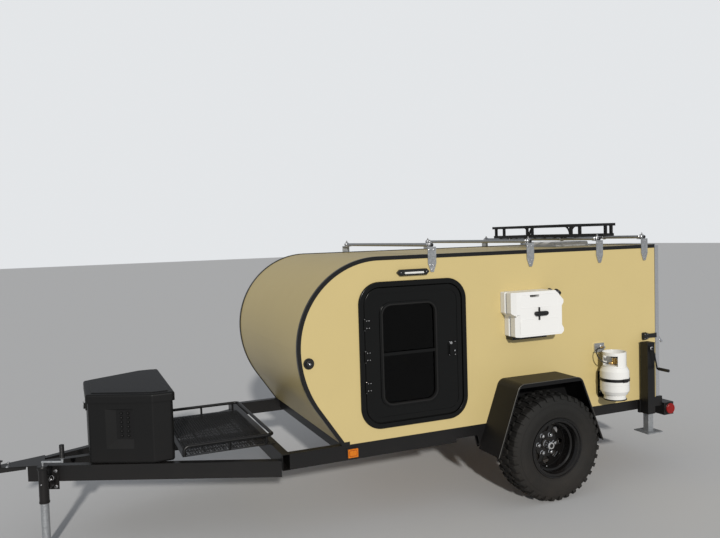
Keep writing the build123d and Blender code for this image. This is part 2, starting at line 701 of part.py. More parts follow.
def make_doors():
    face_y = HALF_BODY
    outer = rounded(DOOR_FRAME_L, DOOR_FRAME_H, DOOR_FRAME_RADIUS, DOOR_X, DOOR_Z)
    opening = door_shape(0)
    flange = side_plate(outer - opening, face_y, face_y + FLANGE_T)
    face = outer_face(flange)
    flange = fillet(face.outer_wire().edges(), 9)
    flange = fillet(outer_face(flange).inner_wires()[0].edges(), 3)
    sleeve = side_plate(door_shape(LINER) - opening, INNER_HALF, face_y)
    save("door_frames", *both_sides(flange + sleeve))

    window_x = at(WINDOW_REAR_AHEAD) - WINDOW_L / 2
    window_z = WINDOW_Z + WINDOW_H / 2
    window = rounded(WINDOW_L, WINDOW_H, WINDOW_RADIUS, window_x, window_z)
    rim = rounded(WINDOW_L + 2 * WINDOW_RIM, WINDOW_H + 2 * WINDOW_RIM,
                  WINDOW_RADIUS + WINDOW_RIM, window_x, window_z)
    y1 = face_y + LEAF_PROUD
    leaf = side_plate(door_shape(-DOOR_GAP), y1 - DOOR_THICK, y1)
    leaf = fillet(outer_face(leaf).edges(), 6)
    leaf -= side_plate(door_shape(-LEAF_BORDER), y1 - LEAF_SINK, y1 + 1)
    raised = side_plate(rim, y1 - LEAF_SINK, y1 + RIM_RISE)
    raised = fillet(outer_face(raised).edges(), 4)
    leaf = leaf + raised - side_plate(window, y1 - DOOR_THICK - 1, y1 + RIM_RISE + 1)
    half_l = WINDOW_L / 2 + 2
    half_h = WINDOW_BAR_H / 2
    leaf += block(window_x - half_l, window_x + half_l, -y1 - 3, -y1 + 10,
                  WINDOW_BAR_Z - half_h, WINDOW_BAR_Z + half_h)
    hinge_x = DOOR_X - OPENING_L / 2
    for z in HINGE_Z:
        low, high = z - HINGE_H / 2, z + HINGE_H / 2
        leaf += rod((hinge_x, -HINGE_Y, low), (hinge_x, -HINGE_Y, high), HINGE_R)
        leaf += block(hinge_x + 1, hinge_x + 9, -HINGE_Y + 1, -y1 + 2, low, high)
        leaf += block(hinge_x + 8, hinge_x + 44, -y1 - 3, -y1 + 2, low, high)
    x, z = at(LATCH_AHEAD), LATCH_Z
    y2 = y1 - LEAF_SINK
    leaf += side_plate(rounded(62, 104, 10, x, z), y2, y2 + 5)
    leaf += side_plate(rounded(27, 72, 6, x - 12, z - 10), y2 + 4, y2 + 16)
    leaf += side_plate(Pos(x - 12, z + 38) * Circle(9), y2 + 4, y2 + 10)
    leaf += side_plate(Pos(x + 18, z - 18) * Circle(6), y2 + 4, y2 + 8)
    save("door_left", leaf)
    save("door_right", mirror(leaf, about=Plane.XZ))

    pane = side_plate(window, y1 - PANE_IN - PANE_T, y1 - PANE_IN)
    save("glass_left", pane)
    save("glass_right", mirror(pane, about=Plane.XZ))


def make_small_fittings():
    x, z = at(PORCH_AHEAD), PORCH_Z
    a, b = PORCH_L / 2, PORCH_H / 2
    shape = polygon((x - a, z), (x - a + b, z + b), (x + a - b, z + b), (x + a, z),
                    (x + a - b, z - b), (x - a + b, z - b))
    lamp = side_plate(shape, HALF_BODY, HALF_BODY + PORCH_T)
    lamp = chamfer(outer_face(lamp).edges(), 5)
    lamp -= side_plate(Pos(x + 6, z - 4) * Rectangle(LENS_L, LENS_H),
                       HALF_BODY + PORCH_T - 8, HALF_BODY + PORCH_T + 1)
    save("porch_lights", *both_sides(lamp))

    x, z = at(DOOR_STOP_AHEAD), DOOR_STOP_Z
    knob = side_plate(Pos(x, z) * Circle(35.5), HALF_BODY, HALF_BODY + 9)
    knob += side_plate(Pos(x, z) * Circle(24), HALF_BODY + 8, HALF_BODY + 30)
    knob = fillet(outer_face(knob).edges(), 6)
    save("door_bumpers", *both_sides(knob))

    ahead, y, z = HOSE[0]
    plate = block(at(620), at(534), -HALF_BODY - 10, -HALF_BODY, z - 36, z + 28)
    plate += rod((at(ahead - PLUG_SIDE), -HALF_BODY - 10, z), (at(ahead - PLUG_SIDE), y - 9, z), 9)
    plate += rod((at(ahead - PLUG_SIDE - 8), y, z), (at(ahead), y, z), NOZZLE_R)
    save("outlet_plate", plate)


def fender_outline(inset):
    corners = [(at(a), z) for a, z in FENDER_CORNERS]
    shape = polygon(*corners)
    upper = shape.vertices().sort_by(Axis.Y)[-2:]
    shape = fillet(upper, FENDER_RADIUS)
    return offset(shape, -inset, kind=Kind.INTERSECTION) if inset else shape


def make_fenders():
    full = fender_outline(0)
    inner = fender_outline(FENDER_T)
    x = at(AXLE_AHEAD)
    low = Pos(x, FENDER_LOW - 200) * Rectangle(1400, 400)
    sheet = side_plate(full - inner - low, HALF_BODY, FENDER_OUT)
    lip_inner = fender_outline(FENDER_LIP)
    cap = Pos(x, FENDER_LIP_Z + 200) * Rectangle(1400, 400)
    lip = side_plate(full - (lip_inner - cap) - low, FENDER_OUT - FENDER_T, FENDER_OUT)
    below_frame = Pos(x, FRAME_BOTTOM - 200) * Rectangle(1400, 400)
    back = side_plate(inner - below_frame, HALF_BODY, HALF_BODY + FENDER_T)
    save("fenders", *both_sides(sheet + lip + back))


def make_axle():
    x = at(AXLE_AHEAD)
    beam = rod((x, -AXLE_END, AXLE_Z), (x, AXLE_END, AXLE_Z), AXLE_R)
    for sign in (-1, 1):
        beam += rod((x, sign * AXLE_END, AXLE_Z), (x, sign * SPINDLE_END, AXLE_Z), SPINDLE_R)
        y = sign * SPRING_Y
        beam += block(x - SEAT_HALF, x + SEAT_HALF, y - 20, y + 20,
                      AXLE_Z - AXLE_R - 7.2, AXLE_Z - AXLE_R + 6)
    save("axle_beam", beam)
    save("leaf_springs", *both_sides(make_spring()))


def make_spring():
    """Stack of curved leaves with its eyes, hangers, clamp plate and bolts, on the left."""
    x = at(AXLE_AHEAD)
    y0 = SPRING_Y - SPRING_W / 2
    top = AXLE_Z - AXLE_R - 8
    rise = EYE_Z - top
    radius = (SPRING_HALF ** 2 + rise ** 2) / (2 * rise)
    spring = None
    for index, half in enumerate(LEAF_HALVES):
        outer_r = radius + LEAF_T * (index + 1)
        ring = Circle(outer_r) - Circle(outer_r - LEAF_T)
        window = Pos(0, -radius) * Rectangle(2 * half, 400)
        solid = side_plate(Pos(x, top + radius) * (ring & window), y0, y0 + SPRING_W)
        spring = solid if spring is None else spring + solid
    for end in (-1, 1):
        ex = x + end * SPRING_HALF
        spring += side_plate(Pos(ex, EYE_Z) * Circle(EYE_R), y0, y0 + SPRING_W)
        for y in (y0 - HANGER_W, y0 + SPRING_W):
            plate = polygon((ex - 45, FRAME_BOTTOM), (ex + 45, FRAME_BOTTOM),
                            (ex + 20, EYE_Z - 22), (ex - 20, EYE_Z - 22))
            spring += side_plate(plate, y, y + HANGER_W)
    stack_low = top - LEAF_T * len(LEAF_HALVES)
    spring += block(x - 52, x + 52, -SPRING_Y - 38, -SPRING_Y + 38, stack_low - CLAMP_T, stack_low)
    for dx in (-CLAMP_X, CLAMP_X):
        for y in (-SPRING_Y - CLAMP_Y, -SPRING_Y + CLAMP_Y):
            spring += rod((x + dx, y, stack_low - CLAMP_T - 14), (x + dx, y, AXLE_Z), CLAMP_R)
    for y in (SPRING_Y - CLAMP_Y, SPRING_Y + CLAMP_Y):
        hoop = Circle(CLAMP_X + CLAMP_R) - Circle(CLAMP_X - CLAMP_R)
        hoop = Pos(x, AXLE_Z) * (hoop - Pos(0, -60) * Rectangle(120, 120))
        spring += side_plate(hoop, y - CLAMP_R, y + CLAMP_R)
    return spring


STEPS = 2 * LUG_COUNT       # a lug and a gap by turns


def tyre_point(corner, side, step):
    """A corner of the section at one step round the wheel; side is 1 outwards, -1 inwards."""
    y, radius = corner
    turn = 2 * math.pi * step / STEPS - math.pi / 2
    return (at(AXLE_AHEAD) + radius * math.cos(turn), -TYRE_MID - side * y,
            AXLE_Z + radius * math.sin(turn))


def flat(points):
    return Face(Wire.make_polygon(points, close=True))


def make_tyre():
    """Flat-faced tyre whose shoulder and centre lugs are part of one closed skin."""
    faces = []

    def strip(lower, upper, side, step, reach=1):
        faces.append(flat([tyre_point(lower, side, step), tyre_point(lower, side, step + reach),
                           tyre_point(upper, side, step + reach), tyre_point(upper, side, step)]))

    def wall(corners, side, step):
        faces.append(flat([tyre_point(corner, side, step) for corner in corners]))

    centre_foot = (GROOVE_IN[0], TREAD_BASE_R)
    centre_top = (GROOVE_IN[0], TYRE_R)
    for step in range(0, STEPS, 2):
        faces.append(flat([tyre_point(BEAD, 1, step), tyre_point(BEAD, 1, step + 2),
                           tyre_point(BEAD, -1, step + 2), tyre_point(BEAD, -1, step)]))
        for side in (-1, 1):
            strip(BEAD, FLANGE_EDGE, side, step, 2)
            near = tyre_point(FLANGE_EDGE, side, step)
            far = tyre_point(FLANGE_EDGE, side, step + 2)
            rim = [tyre_point(BULGE, side, step + n) for n in (0, 1, 2)]
            faces.append(flat([near, rim[0], rim[1]]))
            faces.append(flat([near, rim[1], far]))
            faces.append(flat([far, rim[1], rim[2]]))
    for step in range(STEPS):
        lug = step % 2 == 0
        shape = LUG_LONG if step % 4 == 0 else LUG_SHORT
        for side in (-1, 1):
            strip(BULGE, SHOULDER, side, step)
            strip(GROOVE_OUT, GROOVE_IN, side, step)
            if lug:
                chain = [SHOULDER, *shape, GROOVE_OUT]
                for end in (step, step + 1):
                    wall(chain + [TREAD_EDGE], side, end)
            else:
                chain = [SHOULDER, TREAD_EDGE, GROOVE_OUT]
            for lower, upper in zip(chain, chain[1:]):
                strip(lower, upper, side, step)
            if not lug:
                strip(centre_foot, centre_top, side, step)
        middle = centre_foot if lug else centre_top
        faces.append(flat([tyre_point(middle, 1, step), tyre_point(middle, 1, step + 1),
                           tyre_point(middle, -1, step + 1), tyre_point(middle, -1, step)]))
        if not lug:
            for end in (step, step + 1):
                faces.append(flat([tyre_point(centre_foot, 1, end), tyre_point(centre_top, 1, end),
                                   tyre_point(centre_top, -1, end), tyre_point(centre_foot, -1, end)]))
    return Solid(Shell(faces))


def make_wheels():
    tyre = make_tyre()
    print("tyre volume", round(tyre.volume), "sound", tyre.is_valid)
    save("tyre_left", tyre)
    save("tyre_right", mirror(tyre, about=Plane.XZ))

    x = at(AXLE_AHEAD)
    origin = (x, -TYRE_MID, AXLE_Z)
    hub_plane = Plane(origin=origin, x_dir=(1, 0, 0), z_dir=(0, -1, 0))
    section_plane = Plane(origin=origin, x_dir=(1, 0, 0), z_dir=(0, 0, -1))
    spin = Axis(origin, (0, -1, 0))
    b = BEAD_Y
    # rim section as (y outwards from the middle plane, radius)
    section = [(-b - 8, BEAD_R - 8), (-b - 8, RIM_R), (-b, RIM_R), (-b, BEAD_R), (-60, 168),
               (30, 168), (48, 180), (b - 16, 180), (b, BEAD_R), (b, RIM_R), (b + 9, RIM_R),
               (b + 9, RIM_R - 8), (b + 3, RIM_R - 11), (b + 1, BEAD_R - 7), (b - 18, 173),
               (52, 172), (46, 160), (-60, 160), (-b + 4, BEAD_R - 10)]
    barrel = revolve(section_plane * polygon(*[(r, y) for y, r in section]), spin, 360)
    disc = extrude(hub_plane.offset(DISC_Y) * (Circle(DISC_R) - Circle(42)), amount=DISC_T)
    disc += extrude(hub_plane.offset(DISC_Y + DISC_T) * (Circle(92) - Circle(42)), amount=5)
    holes = ring_of(hub_plane.offset(DISC_Y - 1), DISC_HOLE_RING, 8, Circle(DISC_HOLE_R), 8)
    disc -= holes
    for lip in ring_of(hub_plane.offset(DISC_Y + DISC_T - 1), DISC_HOLE_RING, 8,
                       Circle(DISC_HOLE_R + 4) - Circle(DISC_HOLE_R), 4):
        disc += lip
    rim = barrel + disc
    save("rim_left", rim)
    save("rim_right", mirror(rim, about=Plane.XZ))

    drum = extrude(hub_plane.offset(DRUM_BACK) * Circle(DRUM_R), amount=DRUM_FRONT - DRUM_BACK)
    drum += extrude(hub_plane.offset(DRUM_FRONT) * Circle(80), amount=DISC_Y - DRUM_FRONT)
    drum += extrude(hub_plane.offset(DISC_Y) * Circle(41.7), amount=18)
    cap = extrude(hub_plane.offset(DISC_Y + 17) * Circle(CAP_R), amount=CAP_END - DISC_Y - 17)
    drum += chamfer(cap.faces().sort_by(Axis.Y)[0].edges(), 4)
    nuts = ring_of(hub_plane.offset(DISC_Y + DISC_T + 5), NUT_RING, 6, RegularPolygon(12, 6), 18)
    bore = extrude(hub_plane.offset(DRUM_BACK - 1) * Circle(SPINDLE_R + 1),
                   amount=SPINDLE_END - TYRE_MID + 6 - DRUM_BACK)
    hub = Compound(children=[drum - bore] + nuts)
    save("hub_left", hub)
    save("hub_right", mirror(hub, about=Plane.XZ))


def make_roof_gear():
    bars = []
    brackets = []
    face_y = HALF_BODY + TRIM_PROUD
    for ahead in BAR_AHEAD:
        x = at(ahead)
        plane = Plane(origin=(x, -BAR_HALF, BAR_Z), x_dir=(1, 0, 0), z_dir=(0, 1, 0))
        bars.append(extrude(plane * (Circle(BAR_R) - Circle(BAR_R - BAR_WALL)), amount=2 * BAR_HALF))
        w = STRAP_W / 2
        under = BAR_Z - BAR_R
        shape = polygon((x - w, under - 2), (x - w, STRAP_Z + STRAP_POINT), (x - 12, STRAP_Z),
                        (x + 12, STRAP_Z), (x + w, STRAP_Z + STRAP_POINT), (x + w, under - 2))
        strap = side_plate(shape, face_y, face_y + STRAP_T)
        spacer = side_plate(shape - (Pos(x, ROOF_Z + 60) * Rectangle(200, 200)), HALF_BODY, face_y)
        tab = block(x - w, x + w, -BAR_HALF, -HALF_BODY + 40, under - 4.3, under - 0.3)
        clip = Plane(origin=(x, -HALF_BODY + 30, BAR_Z), x_dir=(1, 0, 0), z_dir=(0, -1, 0))
        clamp = extrude(clip * (Circle(BAR_R + 5) - Circle(BAR_R + 0.2)), amount=22)
        clamp -= block(x - 40, x + 40, -HALF_BODY, -HALF_BODY + 40, under - 40, under - 0.3)
        brackets += both_sides(strap + spacer + tab + clamp)
    save("roof_bars", *bars)
    save("roof_brackets", *brackets)


def make_basket():
    """Roof basket: slatted floor, posts, a top rail and curved braces at both ends."""
    x0, x1 = at(BASKET_FRONT_AHEAD), at(BASKET_REAR_AHEAD)
    half, t = BASKET_HALF, BASKET_TUBE
    low, top = BAR_Z + BAR_R, BASKET_TOP
    basket = block(x0, x1, -half, half, low, low + t)
    basket -= block(x0 + t, x1 - t, -half + t, half - t, low - 1, low + t + 1)
    for index in range(BASKET_SLATS):
        y = -half + (index + 1) * 2 * half / (BASKET_SLATS + 1)
        basket += block(x0 + t / 2, x1 - t / 2, y - 12, y + 12, low, low + 6)
    for y in (-half + 180, half - 180):
        basket += block(x0 + 2, at(95), y - 14, y + 14, low, low + 10)
    out = BASKET_FLARE
    rail = block(x0 - out, x1 + out, -half, half, top - t, top)
    rail -= block(x0 - out + t, x1 + out - t, -half + t, half - t, top - t - 1, top + 1)
    basket += rail
    p = BASKET_POST / 2
    for ahead in BASKET_POST_AHEAD:
        x = at(ahead)
        for y in (-half + t / 2, half - t / 2):
            basket += block(x - p, x + p, y - p, y + p, low + 1, top - 1)
    w = BRACE_T / 2
    foot, head = low + 2, top - t / 2
    for end, x in ((-1, x0), (1, x1)):
        plane_x = x - end * (t - out) / 2 - BRACE_W / 2
        plane = Plane(origin=(plane_x, 0, 0), x_dir=(0, 1, 0), z_dir=(1, 0, 0))
        for side in (-1, 1):
            ring = Circle(BRACE_R + w) - Circle(BRACE_R - w)
            quarter = Pos(-side * 100, 100) * Rectangle(200, 200)
            arc = Pos(side * (BRACE_R + w), head - BRACE_R) * (ring & quarter)
            stem = Pos(side * w, (foot + head - BRACE_R) / 2) * Rectangle(2 * w, head - BRACE_R - foot)
            basket += extrude(plane * (arc + stem), amount=BRACE_W)
    save("roof_basket", basket)


def make_vent():
    x = at(VENT_FRONT_AHEAD) + VENT_L / 2
    base = Pos(x, 0, ROOF_Z + 4) * Box(VENT_L, VENT_L, 8)
    lid = Pos(x, 0, ROOF_Z + 8 + 17) * Box(VENT_L - 27, VENT_L - 27, 34)
    lid = fillet(lid.edges().filter_by(Axis.Z), 40)
    lid = fillet(lid.faces().sort_by(Axis.Z)[-1].edges(), 14)
    save("roof_vent", base + lid)


def make_pack(y_inner):
    corners = [(at(a), z) for a, z in PACK_CORNERS]
    shape = fillet(polygon(*corners).vertices(), PACK_CORNER_R)
    slot = Pos(at(1278), 1467 - 12) * SlotOverall(80, 22)
    body = side_plate(shape - slot, y_inner, y_inner + PACK_T)
    # long bevel on the front edge of the outer face
    front = at(PACK_CORNERS[-3][0])
    outer = -y_inner - PACK_T
    wedge = polygon((front - 1, outer - 1), (front + PACK_BEVEL_X, outer - 1),
                    (front + PACK_BEVEL_X, outer), (front, outer + PACK_BEVEL_Y),
                    (front - 1, outer + PACK_BEVEL_Y))
    low_wedge = Pos(at(PACK_CORNERS[0][0]) - front, 0) * wedge
    split_z = 1324
    body -= extrude(Plane.XY.offset(split_z) * wedge, amount=200)
    body -= extrude(Plane.XY.offset(split_z - 200) * low_wedge, amount=200)
    return body


def make_water_packs():
    y_in = HALF_BODY + 2
    y_out = y_in + PACK_T + PACK_GAP
    packs = make_pack(y_in) + make_pack(y_out)
    x, z = at(PACK_LOCK_AHEAD), PACK_LOCK_Z
    mount = block(x - 70, x + 70, -y_in, -HALF_BODY, z - 70, z + 70)
    link = block(x - 40, x + 40, -y_out, -y_in - PACK_T, z - 40, z + 40)
    tray = block(at(1420), at(1120), -y_in - PACK_T, -HALF_BODY, 1140, 1166)
    cap_x, cap_z = at(1064), 1452
    for y in (y_in + PACK_T / 2, y_out + PACK_T / 2):
        axis = Vector(1, 0, 1).normalized()
        start = Vector(cap_x - 4, -y, cap_z - 6)
        packs += rod(tuple(start), tuple(start + axis * 34), 24)
    save("water_packs", packs)
    y = y_out + PACK_T
    lock = side_plate(Pos(x, z) * SlotOverall(112, 30), y, y + 20)
    lock = fillet(outer_face(lock).edges(), 4)
    lock += side_plate(Pos(x - 16, z) * Rectangle(8, 90), y, y + 12)
    save("pack_lock", lock, mount, link, tray)


def make_hose():
    points = [(at(ahead), y, z) for ahead, y, z in HOSE]
    radii = []
    for before, here, after in zip(points, points[1:], points[2:]):
        first = Vector(*here) - Vector(*before)
        second = Vector(*after) - Vector(*here)
        half_turn = math.radians(first.get_angle(second)) / 2
        radii.append(0.45 * min(first.length, second.length) / math.tan(half_turn))
    print("cord radii", [round(r, 1) for r in radii])
    line = FilletPolyline(*points, radius=radii)
    start = Plane(origin=points[0], z_dir=Vector(*points[1]) - Vector(*points[0]))
    hose = sweep(start * Circle(HOSE_D / 2), path=line)
    print("cord volume against its section times length",
          round(hose.volume / (math.pi * HOSE_D ** 2 / 4 * line.length), 4))
    save("gas_hose", hose)


def make_gas_bottle():
    x, y = at(BOTTLE_AHEAD), -BOTTLE_Y
    origin = (x, y, BOTTLE_Z)
    plane = Plane(origin=origin, x_dir=(1, 0, 0), z_dir=(0, -1, 0))
    tank = revolve(plane * polygon(*BOTTLE_SECTION), Axis(origin, (0, 0, 1)), 360)
    foot = Pos(x, y, BOTTLE_Z + 24) * (Cylinder(79, 48) - Cylinder(76, 48))
    collar_mid = BOTTLE_Z + (COLLAR_LOW + COLLAR_TOP) / 2
    collar = Pos(x, y, collar_mid) * (Cylinder(COLLAR_R, COLLAR_TOP - COLLAR_LOW)
                                      - Cylinder(COLLAR_R - 3, COLLAR_TOP - COLLAR_LOW))
    gap = Pos(x, y, BOTTLE_Z + 291) * Rot(0, 0, 20) * Pos(-80, 0, 0) * Box(90, 118, 76)
    collar -= gap
    valve = Pos(x, y, BOTTLE_Z + 275) * Cylinder(17, 60)
    wheel = Pos(x, y, BOTTLE_Z + 318) * Cylinder(27, 22)
    hose_z = HOSE[-1][2]
    nozzle = rod((x - 8, y, hose_z), (at(HOSE[-1][0]), y, hose_z), NOZZLE_R)
    save("gas_bottle", tank + foot + collar + valve + wheel + nozzle)

    z = BOTTLE_Z
    back = block(x - 60, x + 60, -HALF_BODY - 5, -HALF_BODY, z - 8, z + 190)
    shelf = Pos(x, y, z - 4) * Cylinder(86, 8)
    arm = block(x - 60, x + 60, y, -HALF_BODY, z - 8, z)
    band = Pos(x, y, z + 148) * (Cylinder(109, 22) - Cylinder(106.3, 24))
    ears = block(x - 40, x + 40, -HALF_BODY - 9, -HALF_BODY - 5, z + 137, z + 159)
    save("bottle_bracket", back + shelf + arm + band + ears)


def make_rear_jacks():
    x, y = at(REAR_JACK_AHEAD), REAR_JACK_Y
    h = REAR_TUBE / 2
    top, low = REAR_TUBE_TOP, REAR_TUBE_LOW
    tube = block(x - h, x + h, -y - h, -y + h, low, top)
    bore = REAR_LEG / 2 + 1
    tube -= block(x - bore, x + bore, -y - bore, -y + bore, low - 1, top - 60)
    cap = block(x - h - 1, x + h + 1, -y - h - 1, -y + h + 1, top, top + 12)
    cap = fillet(cap.faces().sort_by(Axis.Z)[-1].edges(), 10)
    arm = block(x - 50, x + 50, -y + h, -HALF_BODY, low, FRAME_TOP)
    collar = Pos(x, -y - h - 3, top - 35) * Box(46, 6, 46)
    save("rear_jack_tubes", *both_sides(tube + cap + arm + collar))

    z = top - 35
    arm_y = -y - h - 20
    low_x, low_z = x + 40, z - REAR_CRANK_DROP
    crank = rod((x, -y - h - 6, z), (x, arm_y - 6, z), 8)
    crank += rod((x, arm_y, z + 7), (low_x, arm_y, low_z), 6)
    crank += Pos(low_x, arm_y, low_z) * Sphere(6.5)
    crank += rod((low_x, arm_y, low_z), (low_x, arm_y - 112, low_z), 7)
    crank += rod((low_x, arm_y - 14, low_z), (low_x, arm_y - 112, low_z), 12)
    save("rear_jack_cranks", *both_sides(crank))

    r = REAR_LEG / 2
    foot = REAR_FOOT_HALF
    leg = block(x - r, x + r, -y - r, -y + r, REAR_FOOT_Z + 8, top - 90)
    leg += block(x - foot, x + foot, -y - foot, -y + foot, REAR_FOOT_Z, REAR_FOOT_Z + 8)
    save("rear_leg_left", leg)
    save("rear_leg_right", mirror(leg, about=Plane.XZ))


def make_rear_end():
    x0 = BODY_REAR + BUMPER_GAP
    bumper = square_tube(x0, x0 + BEAM, -BEAM_HALF, BEAM_HALF, BEAM_Z, BEAM_Z + BEAM, "y")
    for sign in (-1, 1):
        y = sign * (BEAM_HALF - 2)
        bumper += block(x0 + 3, x0 + BEAM - 3, y - 2, y + 2, BEAM_Z + 3, BEAM_Z + BEAM - 3)
    save("rear_bumper", bumper)

    lamp_z = BEAM_Z + BEAM / 2
    side_x = x0 + BEAM - SIDE_LAMP_R
    side = side_plate(Pos(side_x, lamp_z) * Circle(SIDE_LAMP_R), BEAM_HALF, BEAM_HALF + 18)
    lamps = both_sides(fillet(outer_face(side).edges(), 7))
    for y in (-TAIL_Y, TAIL_Y):
        plane = Plane(origin=(x0 + BEAM, y, lamp_z), x_dir=(0, 1, 0), z_dir=(1, 0, 0))
        lens = extrude(plane * Circle(TAIL_R), amount=10)
        lamps.append(fillet(lens.faces().sort_by(Axis.X)[-1].edges(), 6))
    save("tail_lamps", *lamps)
    x = at(MARKER_AHEAD)
    marker = block(x - 35, x + 35, -HALF_BODY - 16, -HALF_BODY, FRAME_BOTTOM - 8, FRAME_BOTTOM + 48)
    save("marker_lamps", *both_sides(marker))


make_frame()
make_tongue()
make_coupler()
make_deck()
make_tongue_box()
make_tongue_jack()
make_body()
make_galley()
make_hatch()
make_doors()
make_small_fittings()
make_fenders()
make_axle()
make_wheels()
make_roof_gear()
make_basket()
make_vent()
make_water_packs()
make_gas_bottle()
make_hose()
make_rear_jacks()
make_rear_end()
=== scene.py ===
"""Finishes and fine pieces of a squareback teardrop camping trailer.

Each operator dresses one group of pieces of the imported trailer. Places are in metres in the
trailer's own frame: +X to the rear, +Z up, the left side at -Y and the ground at z = 0.
Sections, bolts and screws are given in millimetres.
"""

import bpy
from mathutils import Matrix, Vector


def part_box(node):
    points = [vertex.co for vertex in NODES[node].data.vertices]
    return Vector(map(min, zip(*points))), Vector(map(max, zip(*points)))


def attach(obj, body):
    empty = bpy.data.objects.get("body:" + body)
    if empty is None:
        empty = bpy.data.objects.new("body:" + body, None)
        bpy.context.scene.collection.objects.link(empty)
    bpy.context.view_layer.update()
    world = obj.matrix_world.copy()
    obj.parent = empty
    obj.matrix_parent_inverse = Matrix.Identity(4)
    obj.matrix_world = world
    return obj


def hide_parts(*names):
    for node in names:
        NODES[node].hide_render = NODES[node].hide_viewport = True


bl_info = {
    "name": "Teardrop Trailer Finishes",
    "version": (1, 0, 0),
    "blender": (4, 5, 0),
    "location": "View3D > Sidebar > Trailer",
    "description": "Dresses a teardrop camping trailer with its finishes and fine pieces",
    "category": "Object",
}

import math
from itertools import product

import bmesh
import bpy
from bpy.props import FloatProperty, FloatVectorProperty, IntProperty, PointerProperty
from mathutils import Matrix, Vector

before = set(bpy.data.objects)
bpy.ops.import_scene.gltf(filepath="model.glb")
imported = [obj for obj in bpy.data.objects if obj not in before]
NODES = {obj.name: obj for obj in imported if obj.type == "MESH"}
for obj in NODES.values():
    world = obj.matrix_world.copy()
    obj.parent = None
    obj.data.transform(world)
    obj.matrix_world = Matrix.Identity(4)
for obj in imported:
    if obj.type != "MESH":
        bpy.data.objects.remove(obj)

MM = 0.001
BODY_REAR = 2.390
ROOF_Z = 0.550 + 1.219
AXLE_X = BODY_REAR - 1.192
AXLE_Z = 0.380
TYRE_MID = 0.942
LEFT, RIGHT = Vector((0, -1, 0)), Vector((0, 1, 0))
UP, DOWN = Vector((0, 0, 1)), Vector((0, 0, -1))
REAR, FRONT = Vector((1, 0, 0)), Vector((-1, 0, 0))


def at(ahead):
    """x of a place this many metres ahead of the body's rear face."""
    return BODY_REAR - ahead


def either(value):
    """The value to both sides of zero."""
    return -value, value


def turns(count):
    """Angles of even steps round a circle."""
    return [2 * math.pi * i / count for i in range(count)]


# Sizes and colours

class FinishSettings(bpy.types.PropertyGroup):
    """Colours and dust of the trailer's finishes."""

    body_colour: FloatVectorProperty(
        name="Body Paint", description="Paint of the side walls, roof and hatch",
        subtype="COLOR", size=3, min=0, max=1, default=(0.565, 0.452, 0.205))
    black_colour: FloatVectorProperty(
        name="Black Coat", description="Powder coat of the frame, fenders and rack",
        subtype="COLOR", size=3, min=0, max=1, default=(0.0062, 0.0062, 0.0066))
    dust_colour: FloatVectorProperty(
        name="Dust", description="Road dust on the low surfaces",
        subtype="COLOR", size=3, min=0, max=1, default=(0.16, 0.115, 0.085))
    dust: FloatProperty(
        name="Dust Amount", description="How much road dust lies on the trailer",
        subtype="FACTOR", min=0, max=1, default=0.3)


class TyreSettings(bpy.types.PropertyGroup):
    """Shape of the off-road tyres."""

    pitches: IntProperty(
        name="Tread Pitches", description="Pairs of long and short lugs round each shoulder",
        min=9, max=30, default=18)
    sipe: FloatProperty(
        name="Sipe Depth", description="Depth of the thin cut across each lug",
        subtype="DISTANCE", unit="LENGTH", min=0.001, max=0.01, default=0.005)
    round: FloatProperty(
        name="Lug Rounding", description="Rounding of the lugs' edges",
        subtype="DISTANCE", unit="LENGTH", min=0.0005, max=0.004, default=0.0016)


class MeshSettings(bpy.types.PropertyGroup):
    """Expanded metal of the front deck."""

    cell_length: FloatProperty(
        name="Cell Length", description="Length of a diamond along the trailer",
        subtype="DISTANCE", unit="LENGTH", min=0.02, max=0.08, default=0.0364)
    cell_width: FloatProperty(
        name="Cell Width", description="Width of a diamond across the trailer",
        subtype="DISTANCE", unit="LENGTH", min=0.01, max=0.05, default=0.0196)
    strand: FloatProperty(
        name="Strand", description="Width of the metal between the holes",
        subtype="DISTANCE", unit="LENGTH", min=0.001, max=0.006, default=0.0028)


class BedSettings(bpy.types.PropertyGroup):
    """The bed's mattress."""

    pressure: FloatProperty(
        name="Filling Pressure", description="How hard the filling presses the cover out",
        min=0.5, max=10, default=4.0)
    swell: FloatProperty(
        name="Largest Swell", description="How far a point of the cover may move",
        subtype="DISTANCE", unit="LENGTH", min=0.004, max=0.04, default=0.018)


# Shader building

MADE = {}


def once(name, make, *args):
    """What make gives, made on first use and kept by its name."""
    if name not in MADE:
        MADE[name] = make(*args)
    return MADE[name]


def fill(tree, node, links):
    """Fills a node's inputs with values or other sockets."""
    for key, value in links.items():
        if isinstance(value, bpy.types.NodeSocket):
            tree.links.new(value, node.inputs[key])
        else:
            node.inputs[key].default_value = value


def add(tree, kind, links=None, **settings):
    """Adds a node, sets its properties and fills its inputs."""
    node = tree.nodes.new(kind)
    for key, value in settings.items():
        setattr(node, key, value)
    fill(tree, node, links or {})
    return node


def coords(tree):
    return add(tree, "ShaderNodeTexCoord").outputs["Object"]


def noise(tree, scale, detail=2.0, vector=None, output="Fac", **more):
    place = coords(tree) if vector is None else vector
    links = {"Vector": place, "Scale": scale, "Detail": detail, **more}
    return add(tree, "ShaderNodeTexNoise", links).outputs[output]


def bump(tree, height, distance, strength=1.0, **more):
    links = {"Height": height, "Distance": distance, "Strength": strength, **more}
    return add(tree, "ShaderNodeBump", links).outputs[0]


def calc(tree, operation, first, second, clamp=False):
    return add(tree, "ShaderNodeMath", {0: first, 1: second}, operation=operation,
               use_clamp=clamp).outputs[0]


def ramp(tree, value, low, high, out_low=0.0, out_high=1.0):
    """Maps value from low..high to out_low..out_high and clamps it."""
    return add(tree, "ShaderNodeMapRange", {
        "Value": value, "From Min": low, "From Max": high, "To Min": out_low, "To Max": out_high,
    }).outputs["Result"]


